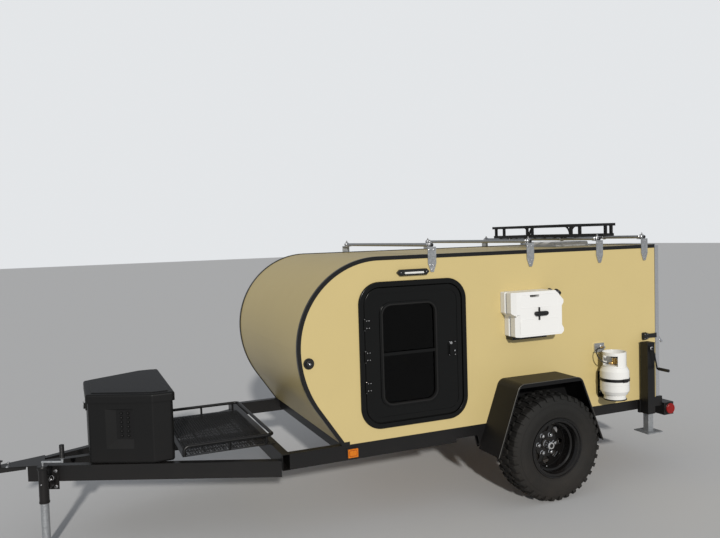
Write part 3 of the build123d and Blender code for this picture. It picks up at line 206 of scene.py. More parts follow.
def mix(tree, fac, *colours):
    """The first colour, turning into the second with fac."""
    links = {0: fac}
    for index, colour in zip((6, 7), colours):
        links[index] = (*colour, 1.0) if isinstance(colour, tuple) else colour
    return add(tree, "ShaderNodeMix", links, data_type="RGBA", clamp_factor=True).outputs[2]


def brightened(tree, value, colour, spread):
    """The colour, a little darker and lighter with value."""
    return mix(tree, value, *(tuple(min(1.0, c * scale) for c in colour)
                              for scale in (1 - spread, 1 + spread)))


def new_group(name, inputs, outputs):
    """A shader node group with number inputs by their defaults and outputs by their kinds."""
    group = bpy.data.node_groups.new(name, "ShaderNodeTree")
    for label, default in inputs.items():
        socket = group.interface.new_socket(label, in_out="INPUT", socket_type="NodeSocketFloat")
        socket.default_value = default
    for label, kind in outputs.items():
        group.interface.new_socket(label, in_out="OUTPUT", socket_type="NodeSocket" + kind)
    return group, group.nodes.new("NodeGroupInput").outputs, group.nodes.new("NodeGroupOutput")


def dust_group():
    """Mask of road dust: more on low and level surfaces, broken up by noise."""
    group, given, end = new_group("Road Dust", {"Top Height": 0.9, "Amount": 0.4},
                                  {"Mask": "Float"})
    height = add(group, "ShaderNodeSeparateXYZ", {0: coords(group)}).outputs["Z"]
    low = add(group, "ShaderNodeMapRange", {
        "Value": height, "From Min": given["Top Height"], "From Max": 0.1}).outputs["Result"]
    normal = add(group, "ShaderNodeNewGeometry").outputs["Normal"]
    facing = add(group, "ShaderNodeSeparateXYZ", {0: normal}).outputs["Z"]
    both = calc(group, "ADD", low, ramp(group, facing, 0.3, 1.0, 0.0, 0.35))
    broken = ramp(group, noise(group, 7.0, 4.0, Roughness=0.55), 0.3, 0.75, 0.35, 1.0)
    mask = calc(group, "MULTIPLY", both, broken)
    fill(group, end, {"Mask": calc(group, "MULTIPLY", mask, given["Amount"], True)})
    return group


def grain_group():
    """Fine bumps of paint, plastic or rubber, over broad waves of a pressed sheet."""
    group, given, end = new_group("Fine Grain", {
        "Scale": 300.0, "Height": 0.0002, "Wave Scale": 3.0, "Wave Height": 0.0},
        {"Normal": "Vector"})
    broad = bump(group, noise(group, given["Wave Scale"]), given["Wave Height"])
    fine = noise(group, given["Scale"], 3.0)
    fill(group, end, {"Normal": bump(group, fine, given["Height"], Normal=broad)})
    return group


def spangle_group():
    """Crystal patches of hot-dip zinc."""
    group, given, end = new_group("Zinc Spangle", {"Scale": 60.0},
                                  {"Value": "Float", "Normal": "Vector"})
    bent = add(group, "ShaderNodeVectorMath", {
        0: noise(group, 25.0, output="Color"), 1: (0.02, 0.02, 0.02)}, operation="MULTIPLY")
    moved = add(group, "ShaderNodeVectorMath", {0: coords(group), 1: bent.outputs[0]},
                operation="ADD")
    cells = add(group, "ShaderNodeTexVoronoi",
                {"Vector": moved.outputs[0], "Scale": given["Scale"]})
    tint = add(group, "ShaderNodeSeparateColor", {0: cells.outputs["Color"]}).outputs[0]
    fill(group, end, {"Value": tint, "Normal": bump(group, tint, 0.0003, 0.4)})
    return group


def use(tree, make, links):
    """Outputs of a shared shader group with its inputs filled."""
    group = once(make.__name__, make)
    return add(tree, "ShaderNodeGroup", links, node_tree=group).outputs


# The makers below give the inputs of a surface shader

def painted(tree, colour, roughness, grain, height, dust_top, dust, gloss, wave=0.0,
            metallic=0.0, spread=0.05, coat=0.0):
    """Paint, powder coat, rubber or moulded plastic with grain (height in mm) and road dust."""
    settings = bpy.context.scene.trailer_finish
    dirt = use(tree, dust_group, {"Top Height": dust_top, "Amount": dust * settings.dust * 2})["Mask"]
    base = brightened(tree, noise(tree, 4.0, 5.0), colour, spread)
    grains = use(tree, grain_group, {"Scale": grain, "Height": height * MM, "Wave Scale": 2.2,
                                     "Wave Height": wave})
    lacquer = {"Coat Weight": coat, "Coat Roughness": 0.08} if coat else {}
    return {"Base Color": mix(tree, dirt, base, tuple(settings.dust_colour)),
            "Roughness": ramp(tree, dirt, 0.0, 0.6, roughness, min(1.0, roughness + 0.4)),
            "Normal": grains["Normal"], "Metallic": metallic, "Specular IOR Level": gloss,
            **lacquer}


def galvanised(tree, colour, roughness):
    spangle = use(tree, spangle_group, {"Scale": 110.0})
    value = spangle["Value"]
    return {"Base Color": brightened(tree, value, colour, 0.09),
            "Roughness": ramp(tree, value, 0, 1, roughness - 0.06, roughness + 0.08),
            "Normal": spangle["Normal"], "Metallic": 0.75}


def drawn_metal(tree, colour, roughness, strength):
    """Bare metal with fine drawn lines."""
    place = add(tree, "ShaderNodeMapping", {"Vector": coords(tree), "Scale": (1.0, 1.0, 30.0)})
    lines = noise(tree, 40.0, 4.0, place.outputs[0])
    low, high = max(0.02, roughness - strength), roughness + strength
    return {"Base Color": brightened(tree, lines, colour, 0.08),
            "Roughness": ramp(tree, lines, 0.3, 0.7, low, high), "Metallic": 1.0}


def tinted_glass(tree, colour):
    film = noise(tree, 6.0, 6.0)
    return {"Base Color": brightened(tree, film, colour, 0.15),
            "Roughness": ramp(tree, film, 0.4, 0.8, 0.02, 0.07),
            "Transmission Weight": 1.0, "IOR": 1.25}


def lamp_lens(tree, colour, prisms):
    """Moulded lamp lens with small prisms."""
    cells = add(tree, "ShaderNodeTexVoronoi", {"Vector": coords(tree), "Scale": prisms},
                distance="CHEBYCHEV").outputs["Distance"]
    return {"Base Color": brightened(tree, cells, colour, 0.25),
            "Normal": bump(tree, cells, 0.002, 0.7),
            "Roughness": 0.2, "Specular IOR Level": 0.3, "Coat Weight": 0.15}


def plywood(tree, light, dark, pore):
    place = add(tree, "ShaderNodeMapping", {"Vector": coords(tree), "Scale": (6.0, 1.0, 6.0)})
    rings = noise(tree, 5.0, 8.0, place.outputs[0], Distortion=1.2)
    fine = noise(tree, 60.0, 3.0, place.outputs[0])
    base = mix(tree, ramp(tree, rings, 0.35, 0.65), dark, light)
    return {"Base Color": mix(tree, ramp(tree, fine, 0.5, 0.7, 0.0, 0.35), base, pore),
            "Normal": bump(tree, fine, 0.0004, 0.4), "Roughness": 0.35}


def woven(tree, colour):
    """Plain weave whose threads run along and across the bed."""
    weft, warp = (add(tree, "ShaderNodeTexWave", {"Vector": coords(tree), "Scale": 190.0},
                      bands_direction=way).outputs["Fac"] for way in "XY")
    both = calc(tree, "MULTIPLY", weft, warp)
    slub = ramp(tree, noise(tree, 14.0, 6.0), 0.45, 0.8, 0.0, 0.4)
    light = tuple(min(1.0, c * 1.35) for c in colour)
    return {"Base Color": mix(tree, slub, brightened(tree, both, colour, 0.25), light),
            "Normal": bump(tree, both, 0.0006, 0.6), "Roughness": 0.9, "Sheen Weight": 0.3}


# each finish: its maker, its colour or the setting that holds it, the maker's numbers, and for
# paints (roughness, grain scale, grain height, dust's top, dust, gloss) what is special
FINISHES = {
    "body paint": (painted, "body_colour", (0.38, 350, 0.06, 0.75, 0.25, 0.5),
                   {"wave": 0.003, "spread": 0.025}),
    "frame coat": (painted, "black_colour", (0.36, 260, 0.05, 0.6, 0.12, 0.35)),
    "fender coat": (painted, "black_colour", (0.46, 300, 0.04, 0.7, 0.1, 0.2)),
    # lighter grey metal of the fenders' rolled edges: worn steel, and a painted highlight along the
    # edge
    "worn edge": (painted, (0.13, 0.127, 0.12), (0.36, 300, 0.1, 0.9, 0.1, 0.5),
                  {"metallic": 0.6, "spread": 0.35}),
    "trim black": (painted, (0.007, 0.007, 0.0075), (0.3, 300, 0.05, 0.6, 0.06, 0.4)),
    "door black": (painted, (0.0052, 0.0055, 0.0056), (0.22, 420, 0.05, 0.7, 0.05, 0.2),
                   {"wave": 0.0008}),
    "box plastic": (painted, (0.0062, 0.0063, 0.0066), (0.46, 700, 0.3, 0.7, 0.06, 0.2)),
    # black plastic; on the tray, mount and link under the water packs this black is also painted
    # shade
    "black plastic": (painted, (0.0095, 0.0095, 0.010), (0.42, 600, 0.2, 0.9, 0.06, 0.4)),
    "gasket": (painted, (0.006, 0.006, 0.006), (0.7, 500, 0.2, 0.9, 0.06, 0.3)),
    "wheel black": (painted, (0.0048, 0.0048, 0.005), (0.2, 200, 0.04, 0.6, 0.06, 0.25),
                    {"coat": 0.3}),
    "tyre rubber": (painted, (0.0098, 0.0100, 0.0096), (0.74, 240, 0.3, 0.8, 0.14, 0.3),
                    {"spread": 0.12}),
    "hose rubber": (painted, (0.016, 0.016, 0.016), (0.5, 400, 0.2, 0.9, 0.1, 0.5)),
    "pack white": (painted, (0.78, 0.78, 0.77), (0.4, 260, 0.15, 0.5, 0.1, 0.5),
                   {"wave": 0.002, "spread": 0.015}),
    "bottle white": (painted, (0.76, 0.76, 0.74), (0.26, 160, 0.06, 0.75, 0.15, 0.5),
                     {"wave": 0.001, "coat": 0.4}),
    "cast iron": (painted, (0.022, 0.021, 0.020), (0.55, 220, 0.2, 0.9, 0.1, 0.3),
                  {"metallic": 0.5}),
    "zinc": (galvanised, (0.40, 0.415, 0.43), (0.42,)),
    "aluminium": (drawn_metal, (0.74, 0.75, 0.77), (0.3, 0.06)),
    "chrome": (drawn_metal, (0.80, 0.80, 0.81), (0.08, 0.03)),
    "steel": (drawn_metal, (0.60, 0.60, 0.61), (0.3, 0.06)),
    "brass": (drawn_metal, (0.62, 0.42, 0.16), (0.3, 0.06)),
    "window glass": (tinted_glass, (0.020, 0.023, 0.025), ()),
    "red lens": (lamp_lens, (0.24, 0.005, 0.004), (140.0,)),
    "amber lens": (lamp_lens, (0.62, 0.17, 0.008), (160.0,)),
    "white lens": (lamp_lens, (0.78, 0.78, 0.75), (110.0,)),
    "plywood": (plywood, (0.60, 0.42, 0.22), ((0.42, 0.25, 0.11), (0.32, 0.18, 0.08))),
    "mattress cloth": (woven, (0.16, 0.20, 0.25), ()),
}
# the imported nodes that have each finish
NODE_FINISHES = {
    "frame coat": "side_rails crossmembers tongue_rails coupler front_deck jack_bracket jack_tube "
                  "axle_beam leaf_springs roof_basket bottle_bracket rear_jack_tubes rear_bumper",
    "fender coat": "fenders",
    "body paint": "side_wall_left side_wall_right roof_and_front hatch",
    "box plastic": "tongue_box tongue_box_lid",
    "zinc": "jack_crank jack_leg outlet_plate roof_bars roof_brackets rear_leg_left "
            "rear_leg_right",
    "plywood": "floor galley",
    "trim black": "edge_trim",
    "mattress cloth": "mattress",
    "aluminium": "hatch_edging",
    "chrome": "hatch_handles",
    # pack_lock's tray, mount and link under the water packs take this black: their own black plastic
    # and painted shade beneath the packs
    "black plastic": "side_latches porch_lights door_bumpers pack_lock rear_jack_cranks",
    "door black": "door_frames door_left door_right",
    "window glass": "glass_left glass_right",
    "tyre rubber": "tyre_left tyre_right",
    "wheel black": "rim_left rim_right",
    "cast iron": "hub_left hub_right",
    "pack white": "roof_vent water_packs",
    "bottle white": "gas_bottle",
    "hose rubber": "gas_hose",
    "red lens": "tail_lamps",
    "amber lens": "marker_lamps",
}
# the material slot of a piece by its finish
SLOTS = {
    "frame coat": "frame_black", "worn edge": "frame_black", "wheel black": "frame_black",
    "steel": "galvanised", "zinc": "galvanised", "brass": "galvanised",
    "aluminium": "aluminium", "chrome": "chrome", "black plastic": "black_plastic",
    "box plastic": "black_plastic", "gasket": "rubber", "hose rubber": "rubber",
    "tyre rubber": "tyre", "pack white": "white_plastic", "bottle white": "bottle_white",
    "white lens": "lamp_white", "red lens": "red_lens", "mattress cloth": "cloth",
}


def new_material(name, inputs):
    """A material whose surface inputs come from a function of its node tree."""
    material = bpy.data.materials.new(name)
    material.use_nodes = True
    tree = material.node_tree
    fill(tree, tree.nodes["Principled BSDF"], inputs(tree))
    return material


def finish(name):
    """The named finish, made on first use."""
    maker, colour, numbers, *special = FINISHES[name]
    if isinstance(colour, str):
        colour = tuple(getattr(bpy.context.scene.trailer_finish, colour))
    return once(name, new_material, name,
                lambda tree: maker(tree, colour, *numbers, **dict(*special)))


# Mesh building

def rounded(length, height, radius, centre, steps=8):
    """Outline of a rounded rectangle, as points and their outward directions."""
    points = []
    for corner, (sx, sz) in enumerate(((1, 1), (-1, 1), (-1, -1), (1, -1))):
        cx = centre[0] + sx * (length / 2 - radius)
        cz = centre[1] + sz * (height / 2 - radius)
        for i in range(steps + 1):
            turn = math.pi / 2 * (corner + i / steps)
            out = (math.cos(turn), math.sin(turn))
            points.append(((cx + radius * out[0], cz + radius * out[1]), out))
    return points


def circle(centre, side, up, radius, sides):
    """Points of a circle in the plane of two directions."""
    return [centre + (side * math.cos(t) + up * math.sin(t)) * radius * MM for t in turns(sides)]


class Shape:
    """Collects the faces of one piece and makes an object of them."""

    def __init__(self):
        self.verts = []
        self.faces = []

    def loops(self, rings, caps=True):
        """Joins rings of equally many points; caps close the first and the last."""
        base, count = len(self.verts), len(rings[0])
        self.verts += [tuple(point) for ring in rings for point in ring]
        for r in range(len(rings) - 1):
            for i in range(count):
                here, there = base + r * count, base + (r + 1) * count
                j = (i + 1) % count
                self.faces.append((here + i, here + j, there + j, there + i))
        if caps:
            last = len(self.verts) - count
            self.faces.append(tuple(base + i for i in reversed(range(count))))
            self.faces.append(tuple(last + i for i in range(count)))

    def block(self, low, high):
        (x0, y0, z0), (x1, y1, z1) = low, high
        ring = ((x0, y0), (x1, y0), (x1, y1), (x0, y1))
        self.loops([[(x, y, z) for x, y in ring] for z in (z0, z1)])

    def border(self, path, section, axis=1, base=0.0):
        """Runs a section of (outwards, along the axis) points round a path in the other plane."""
        rings = []
        for (a, b), (out_a, out_b) in path:
            rings.append([])
            for out, along in section:
                point = [a + out_a * out * MM, b + out_b * out * MM]
                point.insert(axis, base + along * MM)
                rings[-1].append(point)
        self.loops(rings + rings[:1], caps=False)

    def lathe(self, origin, axis, profile, sides=32, closed=False):
        """Turns (radius, along) points about an axis; closed joins the last to the first."""
        origin, axis = Vector(origin), Vector(axis).normalized()
        side = axis.orthogonal().normalized()
        up = axis.cross(side)
        self.loops([circle(origin + axis * along * MM, side, up, radius, sides)
                    for radius, along in profile + (profile[:1] if closed else [])],
                   caps=not closed)

    def bar(self, start, end, radius, sides=16):
        start, end = Vector(start), Vector(end)
        length = (end - start).length / MM
        self.lathe(start, end - start, [(radius, 0), (radius, length)], sides)

    def tube(self, points, radius, sides=12):
        """A round bar along a line of points."""
        points = [Vector(p) for p in points]
        side = None
        rings = []
        for i, point in enumerate(points):
            before = points[max(0, i - 1)]
            after = points[min(len(points) - 1, i + 1)]
            along = (after - before).normalized()
            side = along.orthogonal() if side is None else side - along * side.dot(along)
            side = side.normalized()
            rings.append(circle(point, side, along.cross(side), radius, sides))
        self.loops(rings)

    def bolt(self, place, out, size, height):
        """Hexagon head with a washer, standing on a surface."""
        self.lathe(place, out, [(size * 1.35, -1), (size * 1.35, 1.2), (size * 1.2, 1.6)], 20)
        self.lathe(place, out, [(size * 0.9, 1), (size, 2.2), (size, height),
                                (size * 0.8, height + 1.2)], 6)

    def nut(self, place, out, size, height, stud):
        """Nut on the end of a threaded bolt."""
        self.bolt(place, out, size, height)
        self.lathe(place, out, [(size * 0.55, height), (size * 0.55, height + stud - 1),
                                (size * 0.42, height + stud)], 12)

    def screw(self, place, out, radius):
        """Pan head with a cross slot left as a shallow dimple."""
        self.lathe(place, out, [(radius, -0.5), (radius, 1), (radius * 0.8, 2.6),
                                (radius * 0.35, 3.1), (radius * 0.3, 1.8)], 14)

    def flipped(self):
        """A shape with the same faces on the other side of the trailer only."""
        other = Shape()
        other.verts = [(x, -y, z) for x, y, z in self.verts]
        other.faces = [tuple(reversed(face)) for face in self.faces]
        return other

    def mirrored(self):
        """Adds the same faces on the other side of the trailer."""
        other, base = self.flipped(), len(self.verts)
        self.verts += other.verts
        self.faces += [tuple(base + i for i in face) for face in other.faces]
        return self

    def mesh(self, name, edit):
        """A mesh of the faces, edited as a bmesh."""
        mesh = bpy.data.meshes.new(name)
        mesh.from_pydata(self.verts, [], self.faces)
        bm = bmesh.new()
        bm.from_mesh(mesh)
        edit(bm)
        bm.to_mesh(mesh)
        bm.free()
        return mesh

    def make(self, name, look, body="trailer", slot=None, angle=40, bevel=0.0, segments=2,
             tree=None, values=None):
        """Makes the object, finishes its mesh and gives it its look and body."""
        obj = new_object(name, self.mesh(name, sewn_outwards))
        if bevel:
            mod = obj.modifiers.new("edges", "BEVEL")
            mod.width = bevel
            mod.segments = segments
            mod.limit_method = "ANGLE"
            mod.angle_limit = math.radians(30)
        if tree:
            repeat(obj, tree, look, values)
        if obj.modifiers:
            bake(obj)
        dress(obj, look, body, slot or SLOTS[look])
        obj.data.set_sharp_from_angle(angle=math.radians(angle))
        return obj


def shapes(count):
    return [Shape() for number in range(count)]


def make_sides(body, *pieces, **settings):
    """Makes (shape, name, look) pieces on the left body, then their mirror images on the right."""
    for side in ("left", "right"):
        for shape, name, look in pieces:
            shape = shape if side == "left" else shape.flipped()
            shape.make(f"{name}_{side}", look, f"{body}_{side}", **settings)


def new_object(name, data):
    obj = bpy.data.objects.new(name, data)
    bpy.context.scene.collection.objects.link(obj)
    return obj


def dress(obj, look, body, slot):
    """Gives an object one finish, smooth faces and its body; its slot is not used."""
    obj.data.materials.clear()
    obj.data.materials.append(finish(look))
    for polygon in obj.data.polygons:
        polygon.use_smooth = True
    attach(obj, body)


def sewn_outwards(bm):
    """Joins points that meet and turns the faces of each separate solid outwards."""
    bmesh.ops.remove_doubles(bm, verts=bm.verts, dist=0.01 * MM)
    bmesh.ops.recalc_face_normals(bm, faces=bm.faces)
    left = set(bm.faces)
    while left:
        island = [left.pop()]
        for face in island:
            for other in (other for edge in face.edges for other in edge.link_faces):
                if other in left:
                    left.remove(other)
                    island.append(other)
        volume = 0.0
        for face in island:
            corners = [vert.co for vert in face.verts]
            for a, b in zip(corners[1:], corners[2:]):
                volume += corners[0].dot(a.cross(b))
        if volume < 0:
            bmesh.ops.reverse_faces(bm, faces=island)


def bake(obj):
    """Applies the object's modifiers to its mesh."""
    bpy.context.view_layer.update()
    baked = obj.evaluated_get(bpy.context.evaluated_depsgraph_get())
    mesh = bpy.data.meshes.new_from_object(baked)
    obj.modifiers.clear()
    obj.data = mesh


# Geometry Nodes that repeat a piece

def round_points(tree, given):
    """Points on one spot, turned evenly round the y axis."""
    line = add(tree, "GeometryNodeMeshLine", {"Count": given["Count"], "Offset": (0, 0, 0)})
    index = add(tree, "GeometryNodeInputIndex").outputs[0]
    turn = calc(tree, "MULTIPLY", calc(tree, "DIVIDE", index, given["Count"]), 2 * math.pi)
    angles = add(tree, "ShaderNodeCombineXYZ", {"Y": turn})
    spin = add(tree, "FunctionNodeEulerToRotation", {0: angles.outputs[0]})
    return {"Points": line.outputs[0], "Rotation": spin.outputs[0]}


def field_points(tree, given):
    """A level field of points, every second row moved by half a step."""
    size_x, size_y = (
        calc(tree, "MULTIPLY", calc(tree, "SUBTRACT", given[count], 1.0), given[step])
        for count, step in (("Columns", "Step X"), ("Rows", "Step Y")))
    grid = add(tree, "GeometryNodeMeshGrid", {
        "Size X": size_x, "Size Y": size_y,
        "Vertices X": given["Columns"], "Vertices Y": given["Rows"]})
    index = add(tree, "GeometryNodeInputIndex").outputs[0]
    odd = calc(tree, "MODULO", calc(tree, "MODULO", index, given["Rows"]), 2.0)
    shift = calc(tree, "MULTIPLY", odd, calc(tree, "MULTIPLY", given["Step X"], 0.5))
    offset = add(tree, "ShaderNodeCombineXYZ", {"X": shift})
    moved = add(tree, "GeometryNodeSetPosition", {"Geometry": grid.outputs[0],
                                                  "Offset": offset.outputs[0]})
    return {"Points": moved.outputs[0]}


# each tree: its name, its inputs and what gives its points
REPEATS = {
    "round": ("Repeat Round", {"Count": "Int"}, round_points),
    "field": ("Repeat in Field", {"Columns": "Int", "Rows": "Int", "Step X": "Float",
                                  "Step Y": "Float"}, field_points),
}


def repeat_tree(name, inputs, points):
    """Puts the piece on the points and makes plain faces with one finish."""
    tree = bpy.data.node_groups.new(name, "GeometryNodeTree")
    for label, kind in {"Piece": "Geometry", **inputs, "Finish": "Material"}.items():
        tree.interface.new_socket(label, in_out="INPUT", socket_type="NodeSocket" + kind)
    tree.interface.new_socket("Piece", in_out="OUTPUT", socket_type="NodeSocketGeometry")
    given = tree.nodes.new("NodeGroupInput").outputs
    placed = add(tree, "GeometryNodeInstanceOnPoints", {"Instance": given["Piece"],
                                                        **points(tree, given)})
    real = add(tree, "GeometryNodeRealizeInstances", {0: placed.outputs[0]})
    coat = add(tree, "GeometryNodeSetMaterial", {"Geometry": real.outputs[0],
                                                 "Material": given["Finish"]})
    fill(tree, tree.nodes.new("NodeGroupOutput"), {0: coat.outputs[0]})
    return tree


def repeat(obj, name, look, values):
    """Adds the repeating tree to the object and sets its inputs by their identifiers."""
    tree = once(name, repeat_tree, *REPEATS[name])
    sockets = {item.name: item.identifier for item in tree.interface.items_tree
               if item.in_out == "INPUT"}
    mod = obj.modifiers.new("repeat", "NODES")
    mod.node_group = tree
    for key, value in {"Finish": finish(look), **values}.items():
        mod[sockets[key]] = value


# Operators

class TRAILER_OT_finishes(bpy.types.Operator):
    """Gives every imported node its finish"""
    bl_idname = "trailer.finishes"
    bl_label = "Node Finishes"

    def execute(self, context):
        looks = {name: look for look, names in NODE_FINISHES.items() for name in names.split()}
        for name, obj in NODES.items():
            for slot in obj.material_slots:
                slot.link = "OBJECT"
                slot.material = finish(looks[name])
        return {"FINISHED"}


# the gas hose's line, with y and z of its two ends
OUTLET, VALVE = (-0.812, 1.006), (-0.897, 0.898)
HOSE_END = at(0.567)
HOSE = ((HOSE_END, *OUTLET), (at(0.615), *OUTLET), (at(0.650), -0.838, 0.973),
        (at(0.650), -0.871, 0.931), (at(0.615), *VALVE), (HOSE_END, *VALVE))
HOSE_RADIUS = 0.0045


class TRAILER_OT_gas_hose(bpy.types.Operator):
    """Lays the gas hose from the wall's outlet to the bottle's valve"""
    bl_idname = "trailer.gas_hose"
    bl_label = "Gas Hose"

    def execute(self, context):
        curve = bpy.data.curves.new("gas_hose_line", "CURVE")
        curve.dimensions = "3D"
        spline = curve.splines.new("NURBS")
        spline.points.add(len(HOSE) - 1)
        for point, place in zip(spline.points, HOSE):
            point.co = (*place, 1.0)
        spline.order_u = 3
        spline.use_endpoint_u = True
        spline.resolution_u = 16
        curve.bevel_depth = HOSE_RADIUS
        curve.bevel_resolution = 5
        hose = new_object("gas_hose_skin", curve)
        curve.materials.append(finish("hose rubber"))
        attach(hose, "trailer")
        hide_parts("gas_hose")
        bare = hose.copy()
        bare.data = curve.copy()
        bare.data.bevel_depth = 0.0
        points = [v.co for v in bpy.data.meshes.new_from_object(bare).vertices]
        length = sum((b - a).length for a, b in zip(points, points[1:]))
        bpy.data.objects.remove(bare)
        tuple(HOSE[0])
        return {"FINISHED"}


# tyre sections as (outwards from the middle plane, radius); the side runs from the bead to the
# tread's groove
TYRE_SIDE = [(99.6, 191.4), (100.2, 205), (101, 212.5), (108.5, 217.5), (111, 226), (109.8, 227.5),
             (115, 244), (119.5, 257), (122.2, 270), (122.8, 283), (121.4, 298), (118.8, 311),
             (120, 312.5), (118.6, 319), (116.5, 320), (113, 336), (110, 344), (104, 354),
             (96, 364), (80, 366.5), (50, 368), (20, 368.2)]
WALL_RIB = ((118, 254.5), (120.5, 256), (123.8, 277), (121, 279))
LONG_LUG = ((110.5, 336), (120.5, 343), (117, 356), (104, 374.5), (78, 378.5), (49, 380),
            (48, 365.5), (90, 364))
SHORT_LUG = ((108, 344), (116.5, 350), (113, 361), (102, 375.5), (78, 378.7), (51, 380),
             (50, 365.5), (90, 364))
CENTRE_BLOCK = ((40, 365.5), (40.5, 379.8), (20.5, 380.2), (3.5, 380.3), (3, 365.5))
LUG_TOP = 374.5
TYRE_SIDES = 144
# the first lug's turn and the gaps after a shoulder lug and a centre block, in degrees
LUG_START, LUG_GAP, BLOCK_GAP = -89.7, 0.6, 0.9


def wheel_point(y, radius, degrees):
    """A point by its section and turn, with the wheel's centre at the origin; y is outwards."""
    turn = math.radians(degrees)
    return (radius * math.cos(turn) * MM, -y * MM, radius * math.sin(turn) * MM)


def lug(shape, section, start, end, sipe, side, skew=0.0):
    """A tread lug between two turns in degrees, with one thin cut across it."""
    middle, half_cut, slope, lean = (start + end) / 2, 0.16, 0.1, 0.25
    rings = []
    for turn, cut, lift in ((start, 0, lean), (middle - half_cut - slope, 0, 0),
                            (middle - half_cut, sipe, 0), (middle + half_cut, sipe, 0),
                            (middle + half_cut + slope, 0, 0), (end, 0, -lean)):
        rings.append([])
        for y, radius in section:
            top = radius > LUG_TOP
            rings[-1].append(wheel_point(side * y, radius - (cut if top else 0),
                                         turn + (lift if top else 0) + skew * (y - 40) / 10))
    shape.loops(rings)


class TRAILER_OT_tyres(bpy.types.Operator):
    """Makes the off-road tyres: a ribbed wall, shoulder lugs of two lengths and centre blocks"""
    bl_idname = "trailer.tyres"
    bl_label = "Tyres"

    def execute(self, context):
        settings = context.scene.trailer_tyre
        step = 360 / settings.pitches / 4
        sipe = settings.sipe / MM
        wall, tread = shapes(2)
        profile = TYRE_SIDE + [(-y, r) for y, r in reversed(TYRE_SIDE)]
        wall.loops([[wheel_point(y, r, 360 * i / TYRE_SIDES) for i in range(TYRE_SIDES)]
                    for y, r in profile + profile[:1]], caps=False)
        for side in (1, -1):
            for k in range(TYRE_SIDES // 2):
                turn = 360 * (2 * k + 0.5) / TYRE_SIDES
                wall.loops([[wheel_point(side * y, r, turn + d) for y, r in WALL_RIB]
                            for d in (0, 0.9)])
            for number, section in ((0, LONG_LUG), (2, SHORT_LUG)):
                start = number * step + LUG_START
                lug(tread, section, start, start + step - LUG_GAP, sipe, side)
            for number in (1, 3):
                start = number * step + LUG_START + (LUG_GAP if side > 0 else 0)
                lug(tread, CENTRE_BLOCK, start, start + step - BLOCK_GAP, sipe, side, 0.22)
        for side, y in zip(("left", "right"), either(TYRE_MID)):
            skin = wall.make("tyre_wall_" + side, "tyre rubber", "wheel_" + side)
            blocks = tread.make("tyre_tread_" + side, "tyre rubber", "wheel_" + side,
                                bevel=settings.round, segments=1, angle=30, tree="round",
                                values={"Count": settings.pitches})
            for obj in (skin, blocks):
                obj.data.transform(Matrix.Translation((AXLE_X, y, AXLE_Z)))
            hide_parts("tyre_" + side)
            wall, tread = wall.flipped(), tread.flipped()
        return {"FINISHED"}


NUT_CIRCLE, VALVE_TURN = 0.06985, math.radians(250)


class TRAILER_OT_wheel_trim(bpy.types.Operator):
    """Adds nut ends, cap rings, the valve, rim rings and weld beads to the wheels"""
    bl_idname = "trailer.wheel_trim"
    bl_label = "Wheel Trim"

    def execute(self, context):
        bright, dark, brake = shapes(3)
        centre = Vector((AXLE_X, -TYRE_MID, AXLE_Z))

        def rim_spot(turn, radius):
            return centre + Vector((math.cos(turn), 0, math.sin(turn))) * radius

        for turn in turns(6):
            spot = rim_spot(turn, NUT_CIRCLE)
            for profile, sides in (
                    ([(10.5, -4.5), (9.5, -1.5), (6, 1), (3, 1.7)], 20),
                    ([(16.5, -22.5), (16.5, -20.7), (12.5, -18.5)], 24),
                    ([(15, -22), (15, -19), (14.2, -18), (14.2, -5.5), (12.8, -3.6)], 6)):
                bright.lathe(spot, LEFT, profile, sides)
        bright.lathe(centre, LEFT, [(30, -16), (30, -12), (27.6, -10), (27.4, 36), (28.2, 36.6),
                                    (28.2, 38.5), (23.6, 41.8), (17, 42)], 48)
        dark.lathe(centre, LEFT, [(15, 40.8), (15, 42.4), (12, 43.4), (3.5, 42.8)], 28)
        dark.lathe(centre, LEFT, [(211.5, 99.2), (212.8, 105.2), (212.2, 110.4), (209, 111.6),
                                  (205, 110.8), (203, 108.8), (205, 105.2), (209, 99.2)], 96, True)
        for radius, along in ((160.5, 44), (160, -24)):
            dark.lathe(centre + LEFT * along * MM, LEFT,
                       [(radius + 1, 0), (radius - 2.5, 1.2), (radius - 3.2, 3),
                        (radius - 2, 4.8), (radius + 1, 6)], 80, True)
        brake.lathe(centre, LEFT, [(126.2, -111), (129, -107.2), (129, -100.2), (126.2, -96.2)],
                    72, True)
        stem = rim_spot(VALVE_TURN, 0.150)
        inward = (centre - stem).normalized()
        top = stem + LEFT * 0.036 + inward * 0.004
        dark.bar(stem + LEFT * 0.004, top, 4.2, 14)
        bright.lathe(top, LEFT + inward * 0.1, [(5, 0), (5.2, 8), (4, 10)], 14)
        make_sides("wheel", (bright, "nuts_and_cap", "chrome"), (dark, "rim_rings", "wheel black"),
                   (brake, "drum_ring", "steel"), angle=32)
        return {"FINISHED"}


# the deck's mesh: x of its ends, half its width, its height, thickness and the strands' rise
DECK_ENDS, DECK_HALF, DECK_Z = (at(3.690) + 0.026, at(3.085) - 0.026), 0.494, 0.5535
SHEET, STRAND_RISE = 0.0022, 0.0012


